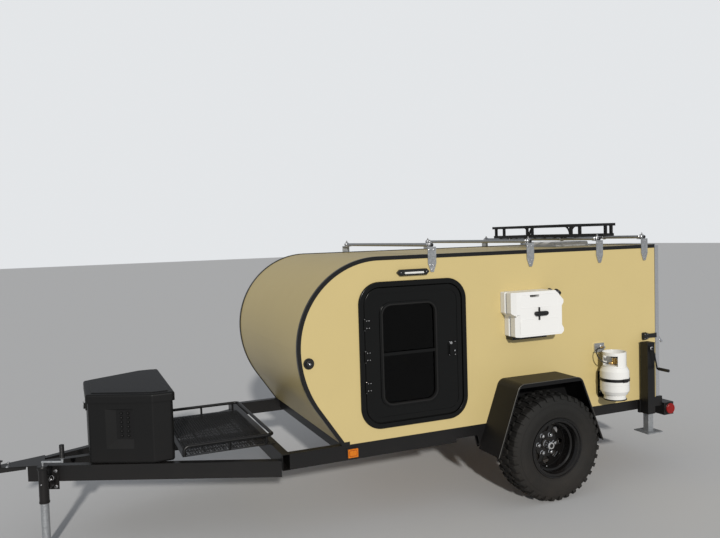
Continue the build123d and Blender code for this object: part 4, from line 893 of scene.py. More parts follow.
class TRAILER_OT_deck_mesh(bpy.types.Operator):
    """Lays expanded metal over the front deck's grid"""
    bl_idname = "trailer.deck_mesh"
    bl_label = "Deck Mesh"

    def execute(self, context):
        settings = context.scene.trailer_mesh
        front, rear = DECK_ENDS
        columns = int((rear - front) / settings.cell_length)
        rows = int(4 * DECK_HALF / settings.cell_width)
        step_x = (rear - front) / (columns + 0.5)
        step_y = 2 * DECK_HALF / (rows + 1)
        cell, thick = Shape(), UP * SHEET
        for sx, sy in ((1, 1), (-1, 1), (-1, -1), (1, -1)):
            start = REAR * (sx * step_x / 2)
            end = Vector((0, sy * step_y, STRAND_RISE * sy))
            along = (end - start).normalized()
            side = Vector((-along.y, along.x, 0)) * settings.strand / 2
            cell.loops([[point + side, point - side, point - side + thick, point + side + thick]
                        for point in (start + along * 0.0002, end - along * 0.0002)])
        mesh = cell.make("deck_mesh", "frame coat", angle=35, tree="field",
                         values={"Columns": columns, "Rows": rows, "Step X": step_x,
                                 "Step Y": step_y})
        middle = ((front + rear) / 2 - step_x / 4, 0.0, DECK_Z)
        mesh.data.transform(Matrix.Translation(middle))
        return {"FINISHED"}


# the mattress: its gap to its box, its cloth's step, its buttons along and across, how far a
# button holds the cover and dents the quick one, and the time its filling takes
PAD_GAP, CLOTH_STEP, BUTTONS = 0.014, 0.021, (4, 3)
HELD_RADIUS, DENT_RADIUS, FILLING_FRAMES = 0.034, 0.16, 20


def rounded_edges(bm):
    sewn_outwards(bm)
    bmesh.ops.bevel(bm, geom=bm.edges[:], offset=0.022, segments=3, affect="EDGES", profile=0.5)


class TRAILER_OT_mattress(bpy.types.Operator):
    """Swells the mattress from its plain form, then sews its edge cord and buttons"""
    bl_idname = "trailer.mattress"
    bl_label = "Mattress"

    def execute(self, context):
        settings = context.scene.trailer_bed
        low, high = map(Vector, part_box("mattress"))
        a = low + Vector((PAD_GAP, PAD_GAP, 0.002))
        b = high - Vector((PAD_GAP, PAD_GAP, settings.swell * 0.8))
        block = Shape()
        block.block(a, b)
        pad = new_object("mattress_pad", block.mesh("mattress_pad", rounded_edges))
        remesh = pad.modifiers.new("voxels", "REMESH")
        remesh.mode = "VOXEL"
        remesh.voxel_size = CLOTH_STEP
        bake(pad)
        along, across = BUTTONS
        pins = [(a.x + (b.x - a.x) * (i + 0.5) / along, a.y + (b.y - a.y) * (j + 0.5) / across)
                for i, j in product(range(along), range(across))]

        def from_button(p):
            return min(math.hypot(p.x - x, p.y - y) for x, y in pins)

        held = [v.index for v in pad.data.vertices
                if v.co.z < a.z + 0.006 or from_button(v.co) < HELD_RADIUS]
        self.inflate(context, pad, held, settings)
        smooth = pad.modifiers.new("smooth", "SUBSURF")
        smooth.levels = smooth.render_levels = 1
        bake(pad)
        dress(pad, "mattress cloth", "trailer", "cloth")
        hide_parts("mattress")

        cord, tufts = shapes(2)
        middle = ((low.x + high.x) / 2, (low.y + high.y) / 2)
        path = rounded(high.x - low.x - 0.022, high.y - low.y - 0.022, 0.03, middle, 6)
        section = [(3.5 * math.cos(t), 3.5 * math.sin(t)) for t in turns(8)]
        for z in (low.z + 0.010, high.z - 0.022):
            cord.border(path, section, 2, z)
        cord.make("mattress_piping", "mattress cloth", angle=80)
        tops = [v.co for v in pad.data.vertices if v.normal.z > 0.5]
        for x, y in pins:
            z = min(p.z for p in tops if math.hypot(p.x - x, p.y - y) < 0.03)
            tufts.lathe((x, y, z), UP, [(12, -4), (14.5, 0), (12, 4), (5, 6)], 20)
        tufts.make("mattress_buttons", "mattress cloth", angle=60)
        return {"FINISHED"}

    def inflate(self, context, pad, held, settings):
        """Blows the cover up by a cloth simulation, apart from the held points."""
        rest = [v.co.copy() for v in pad.data.vertices]
        pad.vertex_groups.new(name="buttons").add(held, 1.0, "REPLACE")
        cloth = pad.modifiers.new("filling", "CLOTH").settings
        cloth.use_pressure = True
        cloth.uniform_pressure_force = settings.pressure
        cloth.effector_weights.gravity = 0
        cloth.tension_stiffness = 12
        cloth.bending_stiffness = 0.4
        cloth.vertex_group_mass = "buttons"
        cloth.quality = 5
        for number in range(1, FILLING_FRAMES + 1):
            context.scene.frame_set(number)
        swollen = pad.evaluated_get(context.evaluated_depsgraph_get()).data
        moved = [v.co.copy() for v in swollen.vertices]
        pad.modifiers.clear()
        context.scene.frame_set(1)
        for vertex, was, now in zip(pad.data.vertices, rest, moved):
            shift = now - was
            if shift.length > settings.swell:
                shift = shift.normalized() * settings.swell
            vertex.co = was + shift


# the four roof bars, ahead of the body's rear face
BARS = (2.012, 1.198, 0.558, 0.109)


class TRAILER_OT_roof_hardware(bpy.types.Operator):
    """Bolts the roof bars, basket and vent down"""
    bl_idname = "trailer.roof_hardware"
    bl_label = "Roof Hardware"

    def execute(self, context):
        bolts, plugs, clips, welds, ribs, screws = shapes(6)
        for x in map(at, BARS):
            for dx, z in ((-0.014, 1.698), (0.014, 1.698), (0, 1.671), (-0.018, 1.803),
                          (0.018, 1.803)):
                bolts.bolt((x + dx, -0.789, z), LEFT, 5.8, 4.5)
            bolts.nut((x, -0.762, 1.8555), UP, 7.5, 7, 10)
            for y in (-0.775, -0.750):
                bolts.lathe((x, y, 1.838), RIGHT, [(17.2, 0), (18.8, 1), (18.8, 5), (17.2, 6)], 24)
            plugs.lathe((x, -0.787, 1.838), LEFT, [(10.5, -4), (12.2, 0), (12.2, 2.5), (9, 4.2)], 24)
        bolts.mirrored().make("roof_bar_bolts", "steel", angle=30)
        plugs.mirrored().make("roof_bar_plugs", "black plastic")

        for ahead, y in product((BARS[2], BARS[3] + 0.004), either(0.351)):
            x = at(ahead)
            for dx in either(0.010):
                clips.tube([(x + dx * reach, y, z) for reach, z in (
                    (1.9, 1.828), (1.9, 1.842), (1.5, 1.8535), (1, 1.86), (1, 1.866))], 3, 8)
                clips.nut((x + dx, y, 1.8612), UP, 5.5, 4, 5)
            clips.tube([(x + dx, y, z) for dx, z in (
                (-0.019, 1.829), (-0.012, 1.8235), (0, 1.8215), (0.012, 1.8235),
                (0.019, 1.829))], 3, 8)
        clips.make("basket_clips", "steel", angle=50)
        for ahead, y, z in product((0.604, 0.517, 0.255, 0.196), either(0.520), (1.8725, 1.9345)):
            x = at(ahead)
            ring = [point for point, out in rounded(0.021, 0.021, 0.002, (x, y), 2)]
            welds.loops([[(x + (px - x) * wide, y + (py - y) * wide, z + dz) for px, py in ring]
                         for wide, dz in ((1, -0.0016), (1.14, 0), (1, 0.0016))])
        welds.make("basket_welds", "frame coat", angle=70)

        x, z = at(0.522) + 0.2035, ROOF_Z
        for k in range(-3, 4):
            ribs.lathe((x, k * 0.046, z + 0.039), REAR,
                       [(1, -150), (5.2, -142), (5.2, 142), (1, 150)], 12)
        ribs.make("vent_ribs", "pack white", angle=60)
        for k, edge in product(range(-2, 3), either(0.1965)):
            screws.screw((x + k * 0.092, edge, z + 0.008), UP, 4.2)
            screws.screw((x + edge, k * 0.092, z + 0.008), UP, 4.2)
        screws.make("vent_screws", "steel")
        return {"FINISHED"}


# x and z of the window's and the door's middle, the window's length, height and corner radius
WINDOW, WINDOW_SIZE = (at(2.2005), 1.115), (0.409, 0.674, 0.070)
DOOR = (at(2.1605), 1.1155)
DOOR_FACE = -0.7922
HINGE_X, HINGE_Y = -0.143, -0.803


class TRAILER_OT_door_details(bpy.types.Operator):
    """Adds the window's rubber, the latch's lock, hinge screws and seals to both doors"""
    bl_idname = "trailer.door_details"
    bl_label = "Door Details"

    def execute(self, context):
        rubber, bright, steel, slit, stay, seal, inner = shapes(7)
        path = rounded(*WINDOW_SIZE, WINDOW, 12)
        rubber.border(path, [(4, -795.5), (3.6, -797.5), (0, -798.4), (-5, -797.5), (-8.2, -793),
                             (-8.5, -774.2), (-1, -774.2), (0.2, -795)])
        rubber.border(path, [(0.6, -768.8), (-8.5, -768.8), (-8, -760), (3, -758.5), (4, -760.2),
                             (0.6, -760.4)])
        rubber.border(rounded(0.735, 0.893, 0.110, DOOR, 12),
                      [(0, -761.5), (0, -758.5), (-4, -756.5), (-14, -756.5), (-18, -760),
                       (-18, -761.5)])
        x, z = at(1.872), 1.118
        bright.lathe((x - 0.012, -0.7965, z + 0.038), LEFT,
                     [(9.8, 0), (9.8, 2), (8.5, 3.2), (4.2, 3.2), (4, 2.2)], 28)
        slit.block((x - 0.0127, -0.7999, z + 0.0345), (x - 0.0113, -0.7970, z + 0.0415))
        bright.lathe((x + 0.018, -0.7945, z - 0.018), LEFT, [(5.5, 0), (5, 1.8), (3, 2.8)], 20)
        for dx, dz in product((0.022, -0.023), either(0.045)):
            steel.screw((x + dx, DOOR_FACE, z + dz), LEFT, 3.4)
        slit.border(rounded(0.034, 0.080, 0.008, (x - 0.012, z - 0.010), 6),
                    [(0, -791.5), (1.2, -792.8), (-1.2, -792.8)])
        for middle in (0.915, 1.118, 1.330):
            for dx, dz in product((0.018, 0.036), either(0.024)):
                steel.screw((HINGE_X + dx, DOOR_FACE - 0.001, middle + dz), LEFT, 3.6)
            for end, way in ((-0.036, DOWN), (0.036, UP)):
                steel.lathe((HINGE_X, HINGE_Y, middle + end), way,
                            [(3, -1), (4.2, 0.4), (3.6, 2.2)], 14)
            for gap in either(0.0144):
                slit.lathe((HINGE_X, HINGE_Y, middle + gap), UP,
                           [(5.1, -0.6), (5.35, 0), (5.1, 0.6)], 20)
        stay.block((at(1.84), -0.7610, 1.060), (at(1.90), -0.7560, 1.180))
        stay.bar((x, -0.7560, z), (x, -0.7380, z), 8, 20)
        stay.bar((x - 0.012, -0.7380, z), (x + 0.060, -0.7380, z), 5.5, 14)
        make_sides("door_leaf", (rubber, "door_rubber", "gasket"), (bright, "door_lock", "chrome"),
                   (steel, "door_screws", "steel"), (slit, "door_gaps", "gasket"),
                   (stay, "door_inner_handle", "black plastic"))
        seal.border(rounded(0.743, 0.911, 0.114, DOOR, 12),
                    [(0, -778), (-3.5, -777.5), (-3.5, -773.5), (0, -773)])
        seal.mirrored().make("door_seals", "gasket", angle=60)
        inner.border(rounded(0.755, 0.923, 0.120, DOOR, 12),
                     [(-4, -762.5), (-4, -758.5), (0, -757), (22, -757), (24, -759), (24, -761.8)])
        inner.mirrored().make("door_inner_trim", "black plastic", slot="black_trim")
        return {"FINISHED"}


PORCH_X, LATCH_Z, PACK_X = at(2.163), 1.052, at(1.236)


class TRAILER_OT_wall_fittings(bpy.types.Operator):
    """Adds porch lenses, latch covers, the outlet's rim, hose ends, screws and pack caps"""
    bl_idname = "trailer.wall_fittings"
    bl_label = "Wall Fittings"

    def execute(self, context):
        lens, screws, latch, outlet, brass, caps, ribs, lock = shapes(8)
        lens.border(rounded(0.1464, 0.0134, 0.004, (PORCH_X + 0.006, 1.656), 4),
                    [(0, -798.2), (0, -802.2), (-2, -803.6), (-6.6, -804), (-6.6, -798.2)])
        lens.mirrored().make("porch_lenses", "white lens")
        for dx in either(0.096):
            screws.screw((PORCH_X + dx, -0.8058, 1.660), LEFT, 3.4)
        screws.bolt((at(2.921), -0.8108, 1.111), LEFT, 5.2, 3)
        for ahead, dz in product((0.132, 0.104), either(0.017)):
            screws.screw((at(ahead), -0.8068, LATCH_Z + dz), LEFT, 3.6)
        screws.mirrored()
        for ahead, z in product((0.613, 0.541), (0.976, 1.028)):
            screws.screw((at(ahead), -0.7908, z), LEFT, 3.6)
        screws.make("wall_screws", "steel")
        latch.border(rounded(0.044, 0.052, 0.006, (at(0.1175), LATCH_Z), 4),
                     [(0, -781), (2.4, -782.2), (2.4, -787), (0, -788.2)])
        latch.block((at(0.092), -0.8000, LATCH_Z - 0.011), (at(0.030), -0.7975, LATCH_Z + 0.011))
        latch.lathe((at(0.118), -0.8068, LATCH_Z), LEFT, [(8.5, 0), (8.5, 1.4), (7, 2.4)], 24)
        latch.mirrored().make("latch_cover", "black plastic")

        outlet.border(rounded(0.090, 0.068, 0.006, (at(0.577), 1.002), 5),
                      [(-1, -781.2), (2.5, -781.2), (2.5, -790), (1, -792.2), (-2, -792.2)])
        outlet.lathe((at(0.553), -0.7910, OUTLET[1]), LEFT,
                     [(17.5, 0), (17.5, 2), (15, 3.4), (9.5, 3.4)], 32)
        outlet.make("outlet_rim", "aluminium", slot="galvanised", angle=35)
        for end in (OUTLET, VALVE):
            brass.lathe((HOSE_END, *end), REAR, [(9.8, 1.5), (10.4, 2.5), (10.4, 10.5),
                                                 (9.2, 11.5)], 6)
            brass.lathe((HOSE_END, *end), REAR, [(6, -16), (6.6, -15), (6.6, -1), (6, -0.5)], 20)
        brass.make("hose_ends", "brass", angle=35)

        axis = Vector((1, 0, 1)).normalized()
        up = axis.cross(RIGHT)
        for y in (-0.820, -0.896):
            start = Vector((at(1.068), y, 1.446))
            rings = []
            for radius, along in ((25.2, 16), (26.8, 17.5), (26.8, 34.5), (25, 36.5), (11, 36.8),
                                  (11, 40.5), (9.5, 41.5)):
                knurl = 0.8 if radius > 20 and along < 35 else 0
                rings.append([start + (axis * along + (RIGHT * math.cos(t) + up * math.sin(t))
                                       * (radius + (knurl if i // 2 % 2 else 0))) * MM
                              for i, t in enumerate(turns(48))])
            caps.loops(rings)
        caps.make("pack_caps", "black plastic", angle=35)
        for z, height in ((1.418, 0.092), (1.236, 0.108)):
            ribs.border(rounded(0.330, height, 0.020, (PACK_X, z), 6),
                        [(-3, -932.5), (-1.8, -934.1), (1.8, -934.1), (3, -932.5)])
        ribs.make("pack_ribs", "pack white", angle=70)
        x, z = at(1.228), 1.327
        lock.border(rounded(0.108, 0.026, 0.0128, (x, z)),
                    [(-2, -953.2), (-0.6, -954.8), (1.4, -953.2)])
        for dx in either(0.036):
            lock.lathe((x + dx, -0.9530, z), LEFT, [(9, 0), (9, 1.8), (7.5, 2.6)], 24)
        lock.make("pack_lock_trim", "black plastic")
        return {"FINISHED"}


FENDER_X = at(1.2205)


def fender_path():
    """The fender's side outline from its front foot over the top to its rear foot."""
    radius, foot_z, inset = 0.062, 0.376, 0.0005
    corners = [Vector(corner) for corner in ((at(1.708), 0.273), (at(1.487), 0.860),
                                             (at(0.954), 0.860), (at(0.722), 0.273))]

    def foot(low, high):
        return low.lerp(high, (foot_z - low.y) / (high.y - low.y))

    points = [foot(corners[0], corners[1])]
    for before, here, after in zip(corners, corners[1:], corners[2:]):
        a, b = (before - here).normalized(), (after - here).normalized()
        half = math.acos(a.dot(b)) / 2
        reach = radius / math.tan(half)
        centre = here + (a + b).normalized() * (radius / math.sin(half))
        u, v = here + a * reach - centre, here + b * reach - centre
        points += [centre + u.lerp(v, i / 8).normalized() * radius for i in range(9)]
    points.append(foot(corners[3], corners[2]))
    middle = Vector((FENDER_X, 0.50))
    return [p + (middle - p).normalized() * inset for p in points]


class TRAILER_OT_fender_edges(bpy.types.Operator):
    """Rolls the fenders' outer edges in a lighter grey metal, worn steel with a painted highlight,
    and bolts them to the body and frame
    """
    bl_idname = "trailer.fender_edges"
    bl_label = "Fender Edges"

    def execute(self, context):
        edge, bolts = shapes(2)
        # the bead's lighter grey metal is worn steel and also a painted highlight along the fender's
        # edge
        edge.tube([(p.x, -1.0292, p.y) for p in fender_path()], 2.1, 10)
        edge.mirrored().make("fender_beads", "worn edge", angle=60)
        for dx in (-0.18, 0, 0.18):
            bolts.bolt((FENDER_X + dx, -0.80, 0.857), DOWN, 7, 5)
        for dx, z in ((-0.18, 0.825), (0, 0.825), (0.18, 0.825), (-0.30, 0.56), (0.30, 0.56)):
            bolts.bolt((FENDER_X + dx, -0.7840, z), LEFT, 7, 5)
        bolts.mirrored().make("fender_bolts", "steel", angle=30)
        return {"FINISHED"}


# a leaf spring: half its span, z of its eyes and of its lowest point, a leaf's thickness
HALF_SPAN, EYE_Z, LOW_Z, LEAF = 0.437, 0.396, 0.342, 0.008


class TRAILER_OT_spring_hardware(bpy.types.Operator):
    """Adds eye bolts, clamp nuts and leaf clips to the springs"""
    bl_idname = "trailer.spring_hardware"
    bl_label = "Spring Hardware"

    def execute(self, context):
        steel, clips = shapes(2)
        for dx in either(HALF_SPAN):
            for y, out in ((-0.7785, LEFT), (-0.7215, RIGHT)):
                steel.bolt((AXLE_X + dx, y, EYE_Z), out, 11, 8)
            steel.lathe((AXLE_X + dx, -0.7735, EYE_Z), RIGHT, [(17.5, 0), (17.5, 1.2)], 24)
        for dx, y in product(either(0.038), (-0.778, -0.722)):
            steel.nut((AXLE_X + dx, y, 0.300), DOWN, 10.5, 9, 8)
        rise = EYE_Z - LOW_Z
        radius = (HALF_SPAN ** 2 + rise ** 2) / (2 * rise)
        for dx, leaves in ((-0.300, 2), (0.300, 2), (-0.210, 3), (0.210, 3)):
            x = AXLE_X + dx
            z = LOW_Z + radius - math.sqrt(radius ** 2 - dx ** 2)
            top, bottom = z + 0.003, z - LEAF * leaves - 0.003
            for wide, y0, y1, z0, z1 in (
                    (0.0130, -0.7770, -0.7732, bottom, top),
                    (0.0130, -0.7268, -0.7230, bottom, top),
                    (0.0126, -0.7767, -0.7233, bottom - 0.003, bottom + 0.0005),
                    (0.0126, -0.7767, -0.7233, top - 0.0005, top + 0.003)):
                clips.block((x - wide, y0, z0), (x + wide, y1, z1))
        steel.mirrored().make("spring_bolts", "steel", angle=30)
        clips.mirrored().make("spring_clips", "frame coat", bevel=0.0006)
        return {"FINISHED"}


LAMP_X, LAMP_Z = at(-0.070), 0.446


class TRAILER_OT_lamps(bpy.types.Operator):
    """Adds the lamps' housings and lens rings, and the number bracket"""
    bl_idname = "trailer.lamps"
    bl_label = "Lamps"

    def execute(self, context):
        dark, rings, plate, screws = shapes(4)
        rear = (LAMP_X, -0.620, LAMP_Z)
        side = (LAMP_X + 0.057, 0, LAMP_Z)
        dark.lathe(rear, REAR, [(53.5, 99.5), (53.5, 103), (50, 105.7), (46.8, 105.7),
                                (46.2, 99.5)], 64, True)
        rings.lathe(rear, REAR, [(27, 109), (28.5, 110.8), (30, 109)], 48, True)
        rings.lathe(rear, REAR, [(11, 108.8), (11, 111), (8.5, 111.8)], 32)
        dark.lathe(side, LEFT, [(47, 799.5), (47, 805.5), (44.8, 807.5), (43.2, 807.5),
                                (42.8, 799.5)], 56, True)
        rings.lathe(side, LEFT, [(23, 816.8), (24.5, 818.6), (26, 816.8)], 48, True)
        marker = (at(2.639), 0.4938)
        dark.border(rounded(0.078, 0.064, 0.006, marker, 4),
                    [(0, -781.2), (0, -786.5), (-2, -788.2), (-4.5, -788.2), (-4.5, -781.2)])
        rings.border(rounded(0.052, 0.038, 0.006, marker, 5),
                     [(-1.6, -796.8), (0, -798.2), (1.6, -796.8)])
        dark.mirrored().make("lamp_housings", "black plastic")
        rings.mirrored().make("lens_rings", "red lens", angle=50)
        plate.block((LAMP_X + 0.0995, -0.155, 0.430), (LAMP_X + 0.1015, 0.155, 0.462))
        plate.make("number_bracket", "black plastic", bevel=0.0008)
        for y in either(0.12):
            screws.screw((LAMP_X + 0.1012, y, LAMP_Z), REAR, 4.5)
        screws.make("beam_screws", "steel")
        return {"FINISHED"}


BOX_FRONT = at(4.228)


class TRAILER_OT_box_details(bpy.types.Operator):
    """Adds the tongue box's grip bumps, hasp, lock, hinge knuckles and bolts"""
    bl_idname = "trailer.box_details"
    bl_label = "Box Details"

    def execute(self, context):
        bumps, hasp, key, knuckles, feet = shapes(5)
        corner = Vector((BOX_FRONT, -0.244, 0))
        run = (Vector((at(3.853), -0.434, 0)) - corner).normalized()
        inward = Vector((-run.y, run.x, 0))
        for column, row in product(range(2), range(6)):
            place = corner + run * (0.206 + column * 0.044) + UP * (0.685 + row * 0.029)
            bumps.lathe(place + inward * 0.024, -inward,
                        [(11, -2), (10.2, 3), (8, 6.2), (4.5, 8), (1.5, 8.5)], 20)
        bumps.mirrored().make("box_bumps", "box plastic", angle=50)
        x = BOX_FRONT
        hasp.block((x - 0.0225, -0.0135, 0.8180), (x - 0.0200, 0.0135, 0.8560))
        hasp.bar((x - 0.0215, -0.020, 0.8590), (x - 0.0215, 0.020, 0.8590), 3.5, 14)
        for y, z in product(either(0.025), (0.818, 0.868)):
            hasp.screw((x - 0.0100, y, z), FRONT, 3.6)
        hasp.make("box_hasp", "steel", bevel=0.0006)
        key.lathe((x, 0, 0.8340), FRONT, [(7.5, 22.5), (7.5, 24.3), (6.2, 25.3), (2.6, 25.3),
                                          (2.4, 24.1)], 28)
        key.make("box_key", "chrome")
        for middle, k in product((-0.26, 0, 0.26), range(-2, 3)):
            knuckles.lathe((at(3.709), middle + k * 0.020, 0.902), RIGHT,
                           [(5.8, -8.5), (6.6, -7.5), (6.6, 7.5), (5.8, 8.5)], 18)
        knuckles.make("box_hinges", "steel", "box_lid")
        for x, y in ((-1.70, -0.150), (-1.43, -0.300), (-1.70, 0.150), (-1.43, 0.300)):
            feet.bolt((x, y, 0.5175), UP, 6.5, 5)
        feet.make("box_floor_bolts", "steel", angle=30)
        return {"FINISHED"}


# the tongue jack stands outside the left tongue rail, which turns in by this angle
RAIL_TURN = math.radians(25)
RAIL_RUN = Vector((math.cos(RAIL_TURN), -math.sin(RAIL_TURN), 0))
RAIL_OUT = Vector((-math.sin(RAIL_TURN), -math.cos(RAIL_TURN), 0))
JACK = Vector((at(4.470), math.tan(RAIL_TURN) * 1.355 - 0.760, 0)) + RAIL_OUT * 0.084


def jack_point(along, outwards, z):
    """A point beside the tongue jack, from its centre and along the tongue rail."""
    return JACK + RAIL_OUT * outwards + RAIL_RUN * along + UP * z


class TRAILER_OT_tongue_details(bpy.types.Operator):
    """Adds the coupler's latch and bolts, and the jack's grip, collars, pin and bolts"""
    bl_idname = "trailer.tongue_details"
    bl_label = "Tongue Details"

    def execute(self, context):
        steel, dark, pin, grip, collar, foot = shapes(6)
        x = at(4.922)
        for dx, dy in ((0.150, 0.030), (0.205, 0.045)):
            for y in either(dy):
                steel.bolt((x + dx, y, 0.5100), UP, 8.5, 6)
        lever = ((0.072, 0.544), (0.092, 0.553), (0.150, 0.549), (0.176, 0.541),
                 (0.176, 0.536), (0.150, 0.541), (0.094, 0.545), (0.074, 0.537))
        dark.loops([[(x + dx, y, z) for dx, z in lever] for y in either(0.0135)])
        dark.bar((x + 0.080, -0.017, 0.540), (x + 0.080, 0.017, 0.540), 6.5)
        for y in (-0.0185, 0.0155):
            dark.block((x + 0.066, y, 0.505), (x + 0.094, y + 0.003, 0.550))
        steel.tube([(x + 0.118, y, z) for y, z in (
            (-0.012, 0.553), (-0.021, 0.548), (-0.021, 0.530), (0.021, 0.530), (0.021, 0.548),
            (0.012, 0.553))], 2.2, 8)
        for along, z in product(either(0.040), (0.370, 0.470)):
            steel.bolt(jack_point(along, -0.078, z), RAIL_OUT, 8.5, 6)
        steel.make("tongue_bolts", "steel", angle=32)
        dark.make("coupler_latch", "frame coat", bevel=0.0008)

        head = jack_point(0.026, -0.024, 0.430)
        pin.lathe(head, RAIL_RUN + UP * 0.6, [(6, -3), (6, 14), (4.8, 16)], 16)
        pin.tube([head + RAIL_RUN * (1 + math.cos(t)) * 0.014 + UP * (0.016 + 0.014 * math.sin(t))
                  for t in turns(16) + [2 * math.pi]], 1.8, 8)
        pin.lathe(jack_point(0, 0.0295, 0.420), RAIL_OUT,
                  [(4.5, 0), (4.5, 3), (2.8, 4.2), (3, 7), (1.5, 9)], 12)
        pin.make("jack_pin", "steel", "tongue_jack")
        for z, profile in ((0.5185, [(33.5, -10), (35, -8), (35, 10), (33.5, 12.5)]),
                           (0.2965, [(29.6, -1), (32.2, 0), (32.2, 10), (29.6, 12)]),
                           (0.345, [(29.8, -2), (31.2, 0), (29.8, 2)]),
                           (0.440, [(29.8, -2), (31.2, 0), (29.8, 2)])):
            collar.lathe(jack_point(0, 0, z), UP, profile, 48)
        collar.make("jack_collars", "frame coat", "tongue_jack")
        profile = [(13.8, -1)]
        for z in range(4, 85, 9):
            profile += [(14.1, z), (15.2, z + 2), (15.2, z + 5.5), (14.1, z + 7.5)]
        grip.lathe(jack_point(0.126, 0, 0.577), UP, profile + [(15.2, 85.5), (13.5, 87.5)], 28)
        grip.make("jack_grip", "black plastic", "tongue_jack")
        foot.lathe(jack_point(0, 0, 0.006), UP, [(32, -1), (30, 3.5), (26.2, 6), (25, 6.5)], 40)
        foot.make("jack_foot_weld", "zinc", "tongue_jack_leg", angle=50)
        return {"FINISHED"}


HATCH_X, HANDLE_Z = at(-0.042), 1.008


class TRAILER_OT_hatch_details(bpy.types.Operator):
    """Adds the hatch's hinge knuckles, screws, handle locks and seal"""
    bl_idname = "trailer.hatch_details"
    bl_label = "Hatch Details"

    def execute(self, context):
        bright, screws, lock, seal = shapes(4)
        for k in range(15):
            bright.lathe((at(-0.004), -0.785 + k * 0.105, 1.776), RIGHT,
                         [(4.4, -0.2), (5.2, 0.8), (5.2, 99.2), (4.4, 100.2)], 14)
        bright.make("hatch_knuckles", "aluminium", "rear_hatch")
        places = list(product([-0.715 + k * 0.110 for k in range(14)], (1.7600, 0.5640)))
        places += product(either(0.7720), [0.62 + k * 0.119 for k in range(10)])
        for y, z in places:
            screws.screw((HATCH_X - 0.0002, y, z), REAR, 3.4)
        screws.make("hatch_screws", "steel", "rear_hatch")
        slant = Vector((0, 1, 1)).normalized()
        for y in either(0.752):
            base = Vector((HATCH_X + 0.0045, y, HANDLE_Z))
            lock.lathe(base + UP * 0.022, REAR, [(7.2, 0), (7.2, 1.6), (6, 2.4), (2.5, 2.4),
                                                 (2.2, 1.2)], 24)
            lock.screw(base - UP * 0.026, REAR, 3.2)
            lock.lathe(base, REAR, [(15, 0), (15, 4), (11.2, 8), (9.4, 12), (9, 30)], 28)
            lock.lathe(base + REAR * 0.0335, slant,
                       [(4, -32), (9, -28), (10.5, -21), (8.2, -7), (8.2, 7), (10.5, 21),
                        (9, 28), (4, 32)], 20)
        lock.make("hatch_locks", "chrome", "rear_hatch")
        seal.border(rounded(1.534, 1.187, 0.012, (0, 1.1595), 3),
                    [(0, 0.5), (4.5, 0.5), (4.5, 3.5), (2, 4.7), (0, 3.5)], 0, BODY_REAR)
        seal.make("hatch_seal", "gasket", angle=60)
        return {"FINISHED"}


BOTTLE = Vector((at(0.528), -0.897, 0.629))


class TRAILER_OT_bottle_details(bpy.types.Operator):
    """Adds the gas bottle's seam, collar edge, handwheel, valve and strap buckle"""
    bl_idname = "trailer.bottle_details"
    bl_label = "Bottle Details"

    def execute(self, context):
        white, brass, dark, bolts = shapes(4)
        white.lathe(BOTTLE, UP, [(105.5, 109), (107.2, 112), (105.5, 115)], 72, True)
        white.lathe(BOTTLE, UP, [(75.8, 0), (80.5, 0), (81.5, 2.5), (80, 5), (75.8, 5)], 64, True)
        arc = [math.radians(252 + 256 * i / 52) for i in range(53)]
        white.tube([BOTTLE + Vector((0.0845 * math.cos(t), 0.0845 * math.sin(t), 0.353))
                    for t in arc], 2.8, 10)
        white.make("bottle_seams", "bottle white")
        for height, axis, profile, sides in (
                (0.258, UP, [(20.5, 0), (21.5, 2), (21.5, 12), (19, 14)], 6),
                (0.258, UP, [(17.8, 14), (17.8, 49)], 24),
                (0.275, REAR, [(10.5, 10), (11, 12), (11, 30), (8.5, 33)], 6),
                (0.268, FRONT, [(12, 12), (12.5, 14), (12.5, 28), (10.5, 31)], 8),
                (0.269, FRONT, [(7.8, 16.5), (7.8, 38)], 20)):
            brass.lathe(BOTTLE + UP * height, axis, profile, sides)
        brass.make("bottle_valve", "brass", angle=35)
        rings = []
        for radius, height in ((24, 306.2), (28.2, 308), (29.2, 313), (29.2, 323), (28, 328),
                               (23, 329.8), (12, 329.8), (10, 331.2)):
            wave = 0.035 if radius > 20 else 0
            rings.append([BOTTLE + (Vector((math.cos(t), math.sin(t), 0)) * radius
                                    * (1 - wave * (1 - math.cos(8 * t))) + UP * height) * MM
                          for t in turns(64)])
        dark.loops(rings)
        front = BOTTLE + LEFT * 0.1085
        dark.block(front + Vector((-0.020, -0.0035, 0.135)), front + Vector((0.024, 0.002, 0.161)))
        dark.bar(front + Vector((-0.013, -0.0045, 0.139)), front + Vector((-0.013, -0.0045, 0.157)),
                 2.2, 10)
        dark.make("bottle_handwheel", "black plastic", bevel=0.0006)
        for dx, dz in product(either(0.042), (0.030, 0.170)):
            bolts.bolt((BOTTLE.x + dx, -0.7862, BOTTLE.z + dz), LEFT, 6, 4.5)
        bolts.make("bottle_bolts", "steel", angle=30)
        return {"FINISHED"}


